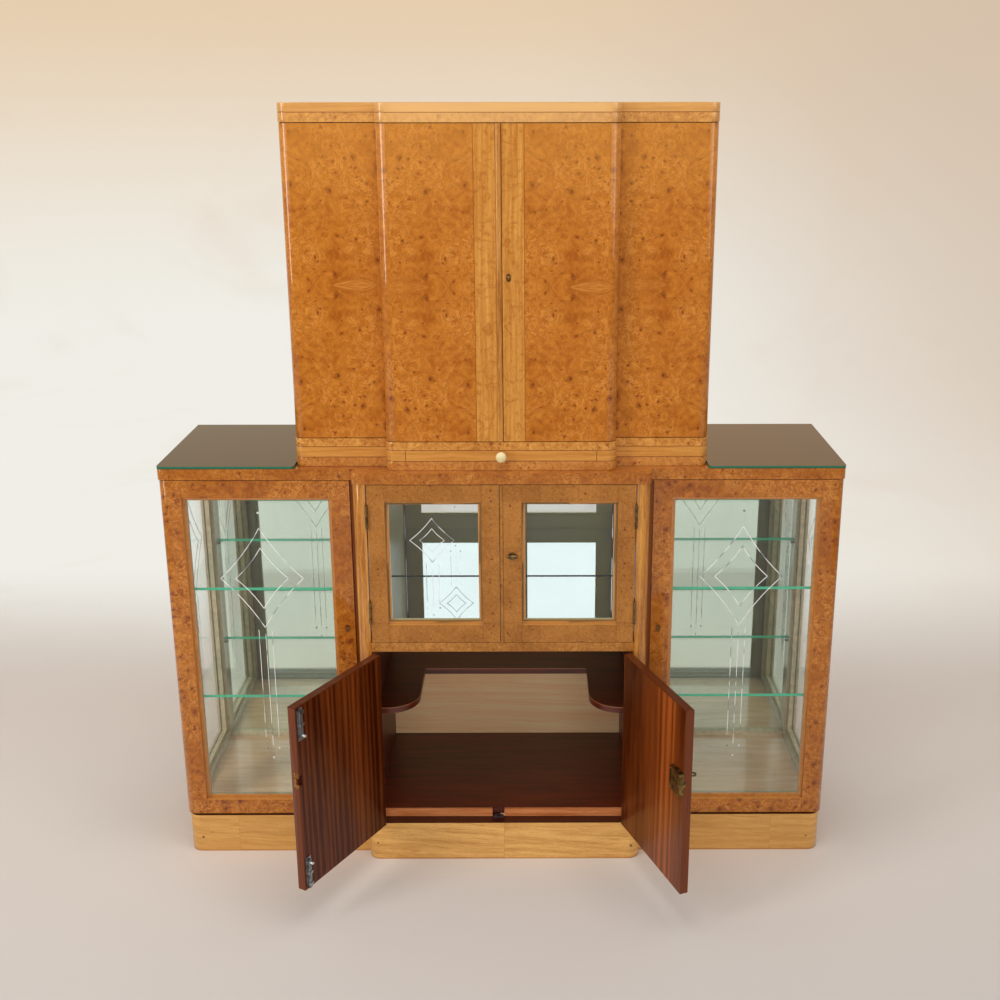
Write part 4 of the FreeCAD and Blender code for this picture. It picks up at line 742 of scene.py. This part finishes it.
def panel_wood(inner):
    """The back panels: three boards below, one above, with a dark joint between them."""
    finish = Finish("panel_wood")
    x, y, z = finish.axes()
    lower = z < UPPER_CASE_LEVEL
    board = ((x > PARTITION_MIDDLE) + (x > -PARTITION_MIDDLE) + 5.0) * lower
    leaned = finish.joined(x + board * 2.3, y, z + board * 1.7 + x * 0.02)
    shades = colours(inner, "panel_pale", "panel_deep")
    shade, height = straight(finish, leaned, (1.6, 30.0, 46.0), shades, 0.3)
    joint = finish.line(abs(x), PARTITION_MIDDLE, 0.0012, 0.0005) * lower
    shade = finish.mix(joint * 0.6, shade, *colours(inner, "dark_pale"))
    wax(finish, shade, height, 0.55, "back_panels")
    ease(0.0014, "back_panels")


# Each board: the stretch of its grain, its two colours, its roughness, its nodes, its bump and its coat.
PLAIN_BOARDS = {
    "lipping_wood": (
        (6.0, 80.0, 160.0), ("lipping", "ribbon_pale"), 0.4, ("cupboard_floor_lipping",), 0.15, {},
    ),
    "polished_floor": (
        (7.0, 60.0, 60.0), ("floor_pale", "floor_deep"), 0.25, ("vitrine_floors",), 0.08,
        {"Coat_Weight": 0.6, "Coat_Roughness": 0.06},
    ),
    "plain_wood": (
        (9.0, 50.0, 50.0), ("panel_pale", "panel_deep"), 0.55,
        ("plinth_bearers", "mixing_slide_board"), 0.2, {},
    ),
}


def plain_boards(inner):
    """The lipping, the vitrine floors and the boards that hardly show."""
    for name, (stretch, shades, roughness, nodes, strength, coat) in PLAIN_BOARDS.items():
        finish = Finish(name)
        shade, height = straight(finish, finish.point, stretch, colours(inner, *shades))
        wax(finish, shade, height, roughness, *nodes, strength=strength, **coat)


def cream_bead(inner):
    """Worn cream paint on the beads round the side glass."""
    finish = Finish("cream_bead")
    wear = finish.noise(finish.point, 70.0, 4.0, 0.6)
    shade = finish.mix(finish.rise(wear, 0.35, 0.7) * 0.5, *colours(inner, "cream", "olive"))
    wax(finish, shade, wear, 0.4, "glazing_beads", strength=0.1)


class CABINET_OT_cupboard_woods(bpy.types.Operator):
    """Ribbon-striped lining and burl faces of the cupboard doors, and the boards and paint inside"""

    bl_idname = "cabinet.cupboard_woods"
    bl_label = "Cupboard woods"

    def execute(self, context):
        woods, inner = context.scene.cabinet_veneers, context.scene.cabinet_insides
        for side in SWINGS:
            ribbon_lining(side, woods, inner)
        dark_board(inner)
        partition_faces(woods, inner)
        panel_wood(inner)
        plain_boards(inner)
        cream_bead(inner)
        return {"FINISHED"}


def glass(finish, tint, gleam):
    """Clear glass that mirrors more where it is seen at a slant."""
    facing = finish.node("ShaderNodeLayerWeight", None, {"Blend": 0.5}, "Facing")
    glint = finish.node("ShaderNodeBsdfGlossy", None, {"Color": (1, 1, 1, 1), "Roughness": 0.0})
    clear = finish.node("ShaderNodeBsdfTransparent", None, {"Color": tint})
    return finish.blended(0.035 + gleam * facing ** 5.0, clear, glint)


def shelf_glass(glazing):
    """The glass shelves, green at their front and rear edges, which also glow faintly as painted light."""
    finish = Finish("shelf_glass")
    y = finish.axes()[1]
    green = colours(glazing, "edge")[0]
    # Painted light: the green edges glow faintly, standing in for light carried along inside the glass.
    rim = finish.principled(green, 0.15, Emission_Color=green, Emission_Strength=0.12)
    front, rear = (corner.y for corner in reach("glass_shelves"))
    edge = (y < front + SKIN) + (y > rear - SKIN)
    flat = glass(finish, (0.95, 0.98, 0.965, 1), 0.4)
    dress(finish.out(finish.blended(edge, flat, rim)), "glass_shelves")


def silvered(glazing):
    """The plain mirrors: greener in the vitrines, a painted reflection of greenery, with a ground lower edge
    in the glazed compartment.
    """
    finish = Finish("silvered")
    x, y, z = finish.axes()
    green, dull, ground_edge = paint(228, 246, 220), paint(216, 224, 222), paint(36, 62, 84)
    haze = finish.noise(finish.point, 9.0, 3.0)
    aside = abs(x)
    middle_bay, edge_level, edge_half, compartment_back = 0.3, 0.5408, 0.0022, 0.16
    # Painted reflection: the vitrine mirrors are tinted green, standing in for greenery that they reflect.
    shade = finish.mix((aside > middle_bay) * 0.6, *colours(glazing, "silver"), green)
    shade = finish.mix(haze * 0.25, shade, dull)
    ground = (aside < middle_bay) * (abs(z - edge_level) < edge_half) * (y > compartment_back)
    shade = finish.mix(ground, shade, ground_edge)
    dress(finish.out(finish.principled(shade, 0.0, Metallic=1 - ground)), "mirrors")


def smoked_mirror(glazing):
    """The mirror-glass tops: smoked above, darker to the left as a painted reflection, green at the edges,
    dark below.
    """
    finish = Finish("smoked_mirror")
    x, _, z = finish.axes()
    low, high = reach("mirror_glass_tops")
    darker_left_reflection, green, dark = paint(86, 80, 72), paint(40, 112, 86), (0.01, 0.012, 0.01, 1.0)
    dust = finish.noise(finish.point, 30.0, 4.0)
    top = z > high.z - 0.00005
    # Painted reflection: the tops are darker to the left, standing in for darker surroundings that they
    # reflect.
    tint = finish.mix(finish.rise(x, -0.5, 0.5), darker_left_reflection, *colours(glazing, "smoke"))
    shade = finish.mix(z < low.z + 0.001, finish.mix(top, green, tint), dark)
    dress(finish.out(finish.principled(shade, 0.015 + 0.02 * dust, Metallic=top)), "mirror_glass_tops")


class CABINET_OT_glass(bpy.types.Operator):
    """Clear panes, glass shelves with green edges, plain mirrors and the smoked mirror tops"""

    bl_idname = "cabinet.glass"
    bl_label = "Glass and mirrors"

    def execute(self, context):
        glazing = context.scene.cabinet_glazing
        finish = Finish("clear_pane")
        pane = finish.out(glass(finish, (0.988, 0.995, 0.992, 1), 0.6))
        dress(pane, "side_glass")
        for door in ("vitrine_door_left", "vitrine_door_right", "glazed_door_left", "glazed_door_right"):
            dress(pane, door + "_glass")
        shelf_glass(glazing)
        silvered(glazing)
        smoked_mirror(glazing)
        return {"FINISHED"}


def speckled(name, scale, detail, first, second, roughness, steps=None, bump=None, **more):
    """A material whose two colours are mixed by a fine noise, which may be its relief too."""
    finish = Finish(name)
    grain = finish.noise(finish.point, scale, detail)
    share = finish.rise(grain, *steps) if steps else grain
    relief = (grain, *bump) if bump else ()
    shade = finish.mix(share, paint(*first), paint(*second))
    return finish.out(finish.principled(shade, roughness, *relief, **more))


# Each metal: its fresh colour, its worn colour, its roughness and its nodes.
METALS = {
    "bronzed": (
        (148, 120, 80),
        (92, 74, 48),
        0.34,
        (
            *[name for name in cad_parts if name.endswith("_leaves")],
            "glazed_door_turn_latch",
            "upper_keyhole_plate",
            "vitrine_door_left_keyhole_plate",
            "vitrine_door_right_keyhole_plate",
            "pivot_pins",
            "shelf_pins",
        ),
    ),
    "tarnished": (
        (88, 78, 52),
        (166, 130, 70),
        0.36,
        ("cupboard_lock_and_keyhole_plate", "cupboard_lock_bolt", "cupboard_key"),
    ),
    "steel": (
        (168, 174, 178),
        (120, 126, 130),
        0.3,
        ("slide_bolt_plates", "top_slide_bolt", "bottom_slide_bolt", "bolt_keepers"),
    ),
}


def bolt_knobs(finish):
    """1 on the knobs of the slide bolts, which are bright from use."""
    x, y, _ = finish.axes(finish.turned(pivot("left"), SWINGS["left"][1]))
    knob_depth = 0.033
    return (abs(y - knob_depth) < 0.0034) * (abs(x - BOLT_ALONG) < 0.02)


class CABINET_OT_metals(bpy.types.Operator):
    """Bronzed hinges, lock and latch, steel bolts, and the cream knob"""

    bl_idname = "cabinet.metals"
    bl_label = "Metal fittings and knob"

    def execute(self, context):
        for name, (fresh, worn, roughness, nodes) in METALS.items():
            finish = Finish(name)
            wear = finish.noise(finish.point, 260.0, 4.0, 0.65)
            patch = finish.rise(finish.noise(finish.point, 90.0, 4.0, 0.6), 0.42, 0.68)
            shade = finish.mix(patch, paint(*fresh), paint(*worn))
            if name == "steel":
                shade = finish.mix(bolt_knobs(finish), shade, paint(232, 234, 236))
            rough = roughness + 0.25 * (wear - 0.4)
            dress(finish.out(finish.principled(shade, rough, wear, 0.08, 0.0002, Metallic=1.0)), *nodes)
        coat = {"Coat_Weight": 0.4, "Coat_Roughness": 0.08}
        cream = speckled("cream_knob", 90.0, 4.0, (238, 222, 172), (222, 200, 142), 0.25, **coat)
        dress(cream, "mixing_slide_knob")
        return {"FINISHED"}


def drawn_out(bm, faces, run):
    """Extrudes faces along a run."""
    grown = bmesh.ops.extrude_face_region(bm, geom=faces)
    bmesh.ops.translate(bm, verts=[v for v in grown["geom"] if isinstance(v, bmesh.types.BMVert)], vec=run)


def facing_to(direction):
    """The turn that takes +Z to a direction."""
    return direction.to_track_quat("Z", "Y").to_matrix().to_4x4()


def cut_profile(bm, start, side, inwards, width, depth):
    """The triangle of a V-cut, square to the line that it starts."""
    lip = inwards * -0.0001
    corners = (start + side * (width / 2) + lip, start - side * (width / 2) + lip, start + inwards * depth)
    return bm.faces.new([bm.verts.new(corner) for corner in corners])


def straight_cut(bm, start, end, inwards, width, depth):
    """A straight V-cut between two points on a pane."""
    run = end - start
    face = cut_profile(bm, start, run.cross(inwards).normalized(), inwards, width, depth)
    drawn_out(bm, [face], run)


def bowed_cut(bm, start, end, middle, bow, inwards, width, depth):
    """A V-cut between two points on a pane, bowed towards a middle."""
    chord = end - start
    halfway = (start + end) / 2
    outwards = inwards.cross(chord).normalized()
    if outwards.dot(halfway - middle) < 0:
        outwards = -outwards
    radius = (chord.length ** 2 / 4 + bow ** 2) / (2 * bow)
    centre = halfway + outwards * (radius - bow)
    arm = start - centre
    angle = arm.angle(end - centre)
    axis = arm.cross(end - centre).normalized()
    face = cut_profile(bm, start, arm.normalized(), inwards, width, depth)
    whole = [face, *face.edges, *face.verts]
    bmesh.ops.spin(bm, geom=whole, cent=centre, axis=axis, angle=angle, steps=10, use_merge=False)


def ornament(bm, middle, across, inwards, sizes, bow, width, depth):
    """Two concave diamonds, three lines below them and round cuts at the ends."""
    up = Vector((0, 0, 1))
    for half_width, half_height, share in sizes["diamonds"]:
        steps = (up * half_height, across * half_width, up * -half_height, across * -half_width)
        corners = [middle + step for step in steps]
        for number, corner in enumerate(corners):
            bowed_cut(bm, corner, corners[(number + 1) % 4], middle, bow * share, inwards, width, depth)
    for offset, high, low in sizes["lines"]:
        spot = middle + across * offset
        straight_cut(bm, spot + up * high, spot + up * low, inwards, width * 0.8, depth)
    shallow = Matrix.Diagonal((1, 1, 0.3, 1))
    for offset, level, radius in sizes["dots"]:
        place = Matrix.Translation(middle + across * offset + up * level) @ facing_to(inwards) @ shallow
        bmesh.ops.create_uvsphere(bm, u_segments=16, v_segments=8, radius=radius, matrix=place)


# Diamonds: half width, half height, share of the bow. Lines: offset, upper end, lower end. Dots: offset,
# level, radius. All are measured from the middle of the diamonds.
LARGE_CUT = {
    "diamonds": ((0.0895, 0.1155, 1.0), (0.0575, 0.0705, 0.7)),
    "lines": ((-0.0145, -0.121, -0.383), (0.0, -0.131, -0.405), (0.0145, -0.121, -0.383)),
    "dots": (
        (0.0, 0.150, 0.0028),
        (-0.0135, -0.411, 0.0024),
        (0.0135, -0.411, 0.0024),
        (0.0, -0.435, 0.0024),
    ),
}
SMALL_CUT = {
    "diamonds": ((0.0475, 0.0495, 0.5), (0.0265, 0.0265, 0.3)),
    "lines": ((-0.0135, -0.051, -0.1405), (0.0, -0.067, -0.152), (0.0135, -0.051, -0.1405)),
    "dots": ((-0.0138, -0.1545, 0.0018), (0.0138, -0.1545, 0.0018), (0.0, -0.171, 0.0018)),
}


def cut_line():
    """The material of the cuts: bright and dull stretches in alternation, painted reflections standing in for
    facets that catch light and shade.
    """
    finish = Finish("cut_line")
    facets = finish.noise(finish.point, 300.0)
    # Painted reflection: bright and dull stretches along the cuts stand in for facets catching light and
    # shade.
    painted_reflection_share = finish.rise(finish.noise(finish.point, 34.0, 1.0), 0.5, 0.66)
    shade = finish.mix(painted_reflection_share, paint(250, 252, 252), paint(142, 154, 158))
    return finish.out(finish.principled(shade, 0.28, facets, 0.3, Metallic=0.35))


class CABINET_OT_cut_glass(bpy.types.Operator):
    """Diamonds, lines and dots cut into the vitrine doors, the side glass and the left centre door"""

    bl_idname = "cabinet.cut_glass"
    bl_label = "Cut glass"

    def execute(self, context):
        glazing = context.scene.cabinet_glazing
        frosted = cut_line()
        across, back = Vector((1, 0, 0)), Vector((0, 1, 0))
        vitrine_front = reach("vitrine_door_right_glass")[0].y
        centre_front = reach("glazed_door_right_glass")[0].y
        side_face = reach("side_glass")[1].x
        level, side_middle = 0.6685, 0.014
        for name, middle, along, inwards, body in (
            ("left_vitrine", (-0.522, vitrine_front, level), across, back, "left_vitrine_door"),
            ("right_vitrine", (0.518, vitrine_front, 0.6715), across, back, "right_vitrine_door"),
            ("centre_door", (-0.148, centre_front, 0.7685), across, back, "left_glazed_door"),
            ("left_side", (-side_face, side_middle, level), back, across, "case"),
            ("right_side", (side_face, side_middle, level), back, -across, "case"),
        ):
            sizes, share = (SMALL_CUT, 0.8) if name == "centre_door" else (LARGE_CUT, 1.0)
            width = glazing.cut_width * share
            bm = bmesh.new()
            ornament(bm, Vector(middle), along, inwards, sizes, glazing.bow, width, glazing.cut_depth)
            piece(name + "_cutting", bm, body, frosted)
        return {"FINISHED"}


def screw(bm, place, facing, radius, turn):
    """A slotted screw head that sits on a surface and faces a direction."""
    loose = bmesh.new()
    rise, half_slot = radius * 0.16, radius * 0.16
    raised = Matrix.Translation((0, 0, rise / 2))
    bmesh.ops.create_cone(
        loose, cap_ends=True, segments=24, radius1=radius, radius2=radius * 0.86, depth=rise, matrix=raised
    )
    for offset in (-half_slot, half_slot):
        whole = loose.verts[:] + loose.edges[:] + loose.faces[:]
        bmesh.ops.bisect_plane(loose, geom=whole, plane_co=(offset, 0, 0), plane_no=(1, 0, 0))
    top = [face for face in loose.faces if face.normal.z > 0.9]
    slot = [face for face in top if abs(face.calc_center_median().x) < half_slot * 0.9]
    drawn_out(loose, slot, (0, 0, -rise * 0.8))
    bmesh.ops.delete(loose, geom=slot, context="FACES_ONLY")
    aim = Matrix.Translation(place) @ facing_to(facing) @ Matrix.Rotation(turn, 4, "Z")
    bmesh.ops.transform(loose, matrix=aim, verts=loose.verts[:])
    spare = bpy.data.meshes.new("spare")
    loose.to_mesh(spare)
    loose.free()
    bm.from_mesh(spare)
    bpy.data.meshes.remove(spare)


class CABINET_OT_screws(bpy.types.Operator):
    """Slotted screws in the leaves of the butt hinges"""

    bl_idname = "cabinet.screws"
    bl_label = "Hinge screws"

    def execute(self, context):
        head = context.scene.cabinet_fittings.screw_head
        bronzed = speckled("screw_metal", 400.0, 3.0, (150, 132, 92), (84, 72, 50), 0.3, Metallic=1.0)
        door_edge = OPENING - 0.002
        row_back, stagger = -0.2013, 0.0028
        for side, (sign, _) in SWINGS.items():
            outwards = Vector((sign, 0, 0))
            for doors, levels in HINGE_LEVELS.items():
                case_bm, door_bm = bmesh.new(), bmesh.new()
                for level in levels:
                    for number, rise in enumerate((0.009, 0.025, 0.041)):
                        depth = row_back + (stagger if number == 1 else -stagger)
                        turn = 0.7 * number + level * 9
                        case_spot = Vector((sign * OPENING, depth, level + rise))
                        door_spot = Vector((sign * door_edge, depth, level + rise))
                        screw(case_bm, case_spot, -outwards, head, turn)
                        screw(door_bm, door_spot, outwards, head, turn + 1.1)
                if doors == "cupboard":
                    bmesh.ops.transform(door_bm, matrix=hung(side), verts=door_bm.verts[:])
                where = "%s_%s" % (side, doors)
                piece(where + "_case_screws", case_bm, "case", bronzed)
                piece(where + "_door_screws", door_bm, where + "_door", bronzed)
        return {"FINISHED"}


def door_screws(name, side, spots, radius, material):
    """Screws on the lining of a cupboard door. A spot gives its place from the hinge line and its turn."""
    bm = bmesh.new()
    for along, depth, level, turn in spots:
        screw(bm, pivot(side) + Vector((along, depth, level)), Vector((0, 1, 0)), radius, turn)
    bmesh.ops.transform(bm, matrix=hung(side), verts=bm.verts[:])
    piece(name, bm, side + "_cupboard_door", material)


def strike_plate(brass):
    """The plate round the lock's notch in the meeting edge of the left cupboard door."""
    edge, thickness = 0.2829, 0.0004
    columns, rows = (0.0098, 0.0146, 0.0182, 0.0214), (0.331, 0.3415, 0.3565, 0.367)
    bm = bmesh.new()
    bmesh.ops.create_grid(bm, x_segments=3, y_segments=3, size=1.0)
    for vert in bm.verts:
        column, row = round((vert.co.x + 1) * 1.5), round((vert.co.y + 1) * 1.5)
        vert.co = (edge, columns[column], rows[row])
    notch = []
    for face in bm.faces:
        middle = face.calc_center_median()
        if rows[1] < middle.z < rows[2] and middle.y > columns[1]:
            notch.append(face)
    bmesh.ops.delete(bm, geom=notch, context="FACES")
    drawn_out(bm, bm.faces[:], (thickness, 0, 0))
    bmesh.ops.transform(bm, matrix=hung("left") @ Matrix.Translation(pivot("left")), verts=bm.verts[:])
    piece("strike_plate", bm, "left_cupboard_door", brass)


def back_screws(radius, material):
    """Rows of screws round the edges of the back panels."""
    spots = [(x, z) for z in (0.102, 0.36, 0.62, 0.884) for x in (-0.716, -0.34, -0.30, 0.30, 0.34, 0.716)]
    spots += [(x, z) for z in (0.962, 1.18, 1.40, 1.612) for x in (-0.426, 0.426)]
    spots += [(x, z) for z in (0.102, 0.884) for x in (-0.53, -0.1, 0.1, 0.53)]
    spots += [(x, 1.612) for x in (-0.15, 0.15)]
    back = reach("back_panels")[1].y
    bm = bmesh.new()
    for number, (across, level) in enumerate(spots):
        screw(bm, Vector((across, back, level)), Vector((0, 1, 0)), radius, number * 0.9)
    piece("back_panel_screws", bm, "case", material)


def nail_plugs(plug):
    """Plugged nails near the plinth's corners, sunk a little into its faces."""
    dark = speckled("nail_plug", 600.0, 3.0, (96, 56, 28), (150, 98, 52), 0.55, bump=(0.2, 0.0002))
    centre, wings = reach("plinth")[0].y, -0.181
    forwards = Matrix.Rotation(math.pi / 2, 4, "X")
    bm = bmesh.new()
    for across, front, level, share in (
        (-0.288, centre, 0.041, 0.7),
        (0.288, centre, 0.033, 1.0),
        (-0.694, wings, 0.036, 1.0),
        (0.694, wings, 0.036, 0.8),
        (-0.672, wings, 0.049, 0.45),
    ):
        radius = plug * share
        place = Matrix.Translation((across, front - 0.0001, level)) @ forwards
        bmesh.ops.create_cone(
            bm, cap_ends=True, segments=20, radius1=radius, radius2=radius * 0.8, depth=0.0004, matrix=place
        )
    piece("plinth_nail_plugs", bm, "case", dark)


class CABINET_OT_small_fittings(bpy.types.Operator):
    """Screws of the bolts, lock and backs, the strike plate and the plugged nails of the plinth"""

    bl_idname = "cabinet.small_fittings"
    bl_label = "Small fittings"

    def execute(self, context):
        fittings = context.scene.cabinet_fittings
        head = fittings.screw_head
        bright = speckled("small_metal", 400.0, 3.0, (164, 160, 150), (96, 90, 80), 0.3, Metallic=1.0)
        worn = {"steps": (0.35, 0.65), "bump": (0.1, 0.0002)}
        brass = speckled(
            "brass_strike", 300.0, 4.0, (190, 140, 82), (120, 76, 40), 0.32, Metallic=1.0, **worn
        )
        levels = (0.105, 0.1655, 0.441, 0.5015)
        spots = [(BOLT_ALONG, 0.0231, level, number * 1.3) for number, level in enumerate(levels)]
        door_screws("bolt_plate_screws", "left", spots, head * 0.9, bright)
        corners = [(along, level) for level in (0.3285, 0.3695) for along in (-0.2785, -0.2445)]
        spots = [(along, 0.0316, level, number * 0.8 + 0.4) for number, (along, level) in enumerate(corners)]
        door_screws("lock_screws", "right", spots, head, brass)
        strike_plate(brass)
        back_screws(head * 1.2, bright)
        nail_plugs(fittings.plug)
        return {"FINISHED"}


def sweep(material):
    """A round floor that curves up into a wall, turned about the cabinet."""
    radius, wall_foot, wall_top = 4.2, 1.6, 4.2
    bm = bmesh.new()
    row = [bm.verts.new((0.001, 0, 0)), bm.verts.new((radius, 0, 0))]
    bm.edges.new(row)
    bend = bmesh.ops.spin(
        bm, geom=[row[1]], cent=(radius, 0, wall_foot), axis=(0, -1, 0), angle=math.pi / 2, steps=12,
        use_merge=False,
    )
    tip = [v for v in bend["geom_last"] if isinstance(v, bmesh.types.BMVert)][0]
    bm.edges.new((tip, bm.verts.new((radius + wall_foot, 0, wall_top))))
    bmesh.ops.spin(
        bm, geom=bm.verts[:] + bm.edges[:], cent=(0, 0, 0), axis=(0, 0, 1), angle=math.tau, steps=72,
        use_merge=True,
    )
    made = built("studio_sweep", bm, material, 0.002)
    for face in made.data.polygons:
        face.use_smooth = True
    return made


def plaster(studio):
    """Pale plaster that holds the cabinet's shadow near it, and is seen as an even glow further off."""
    finish = Finish("studio_plaster")
    x, y, z = finish.axes()
    near, wall = colours(studio, "floor", "wall")
    clouds = finish.noise(finish.point, 1.1, 5.0, 0.6, 0.6)
    seen, glossy, through = finish.node(
        "ShaderNodeLightPath", take=("Is Camera Ray", "Is Glossy Ray", "Is Transmission Ray")
    )
    mirrored = glossy.largest(through)
    shade = finish.mix(finish.rise(y, -1.3, 0.5), near, wall)
    shade = finish.mix(finish.rise(y, -2.6, -3.6) * mirrored, shade, paint(120, 116, 112))
    lit = finish.principled(finish.mix(finish.rise(clouds, 0.45, 0.75) * 0.12, shade, near), 0.8)
    glow = finish.mix(finish.rise(z, 0.2, 2.6), paint(240, 238, 230), paint(229, 203, 170))
    glow = finish.mix(finish.rise(x + 0.25 * z, 0.2, 3.4) * 0.8, glow, paint(210, 190, 170))
    glow = finish.mix(finish.rise(clouds, 0.48, 0.8) * 0.25, glow, paint(222, 196, 170))
    cool = (1.08, 1.16, 1.18, 1.0)
    glow = finish.mix(finish.rise(y, 0.0, -1.5) * mirrored, glow, cool)
    shine = finish.node("ShaderNodeEmission", None, {"Color": glow, "Strength": 1.0})
    behind = finish.rise(y, 0.5, 1.7)
    before = finish.rise(y, -2.4, -3.4) * finish.rise(z, 1.5, 2.2)
    around = finish.rise((x ** 2.0 + y ** 2.0) ** 0.5, 2.2, 3.4)
    share = seen * behind.largest(around) + mirrored * behind.largest(before)
    return finish.out(finish.blended(share, lit, shine))


# Each lamp: its place, what it is aimed at, its width and height, its power, its colour, and whether
# polished faces mirror it.
LAMPS = {
    "window_light": ((-2.6, -2.1, 2.1), (0, 0, 1.0), (0.9, 2.6), 44, (1.0, 0.98, 0.95), True),
    "fill_light": ((2.8, -2.6, 2.0), (0, 0, 0.8), (1.4, 1.8), 12, (1.0, 0.97, 0.94), True),
    "ceiling_light": ((0.2, -0.9, 3.7), (0, -0.1, 0.6), (2.6, 2.0), 46, (1.0, 0.98, 0.96), True),
    "front_light": ((0.3, -3.7, 0.9), (0, 0, 0.5), (2.4, 1.2), 27, (1.0, 0.98, 0.96), False),
}


def light():
    """The room's own pale light and four soft lamps."""
    scene = bpy.context.scene
    scene.world = bpy.data.worlds.new("studio_world")
    scene.world.use_nodes = True
    background = scene.world.node_tree.nodes["Background"]
    background.inputs["Color"].default_value = paint(236, 238, 242)
    background.inputs["Strength"].default_value = 0.55
    for name, (place, target, size, power, tint, mirrored) in LAMPS.items():
        lamp = bpy.data.lights.new(name, "AREA")
        lamp.shape = "RECTANGLE"
        lamp.size, lamp.size_y = size
        lamp.energy = power
        lamp.color = tint
        holder = placed(name, lamp)
        holder.visible_glossy = mirrored
        holder.location = place
        holder.rotation_euler = (Vector(target) - Vector(place)).to_track_quat("-Z", "Y").to_euler()


def camera():
    """The camera, where the photograph was taken from."""
    lens = bpy.data.cameras.new("camera")
    lens.sensor_width = 36.0
    lens.lens = 44.888
    lens.shift_x = -0.03689
    lens.shift_y = -0.03412
    holder = placed("camera", lens)
    holder.location = (0.0679, -2.6957, 1.6695)
    turned, tilted_down, rolled = (math.radians(angle) for angle in (-0.155, 16.4682, -0.051))
    aim = Matrix.Rotation(turned, 3, "Z") @ Matrix.Rotation(math.pi / 2 - tilted_down, 3, "X")
    holder.rotation_euler = (aim @ Matrix.Rotation(rolled, 3, "Z")).to_euler()
    bpy.context.scene.camera = holder


class CABINET_OT_studio(bpy.types.Operator):
    """Pale floor that sweeps up into a pale wall, soft lamps and the camera"""

    bl_idname = "cabinet.studio"
    bl_label = "Studio"

    def execute(self, context):
        sweep(plaster(context.scene.cabinet_studio))
        light()
        camera()
        context.scene.view_settings.view_transform = "Standard"
        return {"FINISHED"}


STEPS = (
    CABINET_OT_upper_doors,
    CABINET_OT_bands,
    CABINET_OT_vitrine_frames,
    CABINET_OT_centre_woods,
    CABINET_OT_cupboard_woods,
    CABINET_OT_glass,
    CABINET_OT_metals,
    CABINET_OT_cut_glass,
    CABINET_OT_screws,
    CABINET_OT_small_fittings,
    CABINET_OT_studio,
)


class VIEW3D_PT_cabinet(bpy.types.Panel):
    """The cabinet's settings and steps"""

    bl_label = "Bar cabinet"
    bl_space_type = "VIEW_3D"
    bl_region_type = "UI"
    bl_category = "Cabinet"

    def draw(self, context):
        for name in SETTINGS:
            group = getattr(context.scene, name)
            box = self.layout.box()
            for key in group.bl_rna.properties.keys():
                if key not in ("rna_type", "name"):
                    box.prop(group, key)
        for step in STEPS:
            self.layout.operator(step.bl_idname)


def register():
    for group in SETTINGS.values():
        bpy.utils.register_class(group)
    for name, group in SETTINGS.items():
        setattr(bpy.types.Scene, name, PointerProperty(type=group))
    for step in STEPS:
        bpy.utils.register_class(step)
    bpy.utils.register_class(VIEW3D_PT_cabinet)


def unregister():
    bpy.utils.unregister_class(VIEW3D_PT_cabinet)
    for step in reversed(STEPS):
        bpy.utils.unregister_class(step)
    for name, group in SETTINGS.items():
        delattr(bpy.types.Scene, name)
        bpy.utils.unregister_class(group)


def main():
    register()
    for step in STEPS:
        group, name = step.bl_idname.split(".")
        getattr(getattr(bpy.ops, group), name)()


if __name__ == "__main__":
    main()
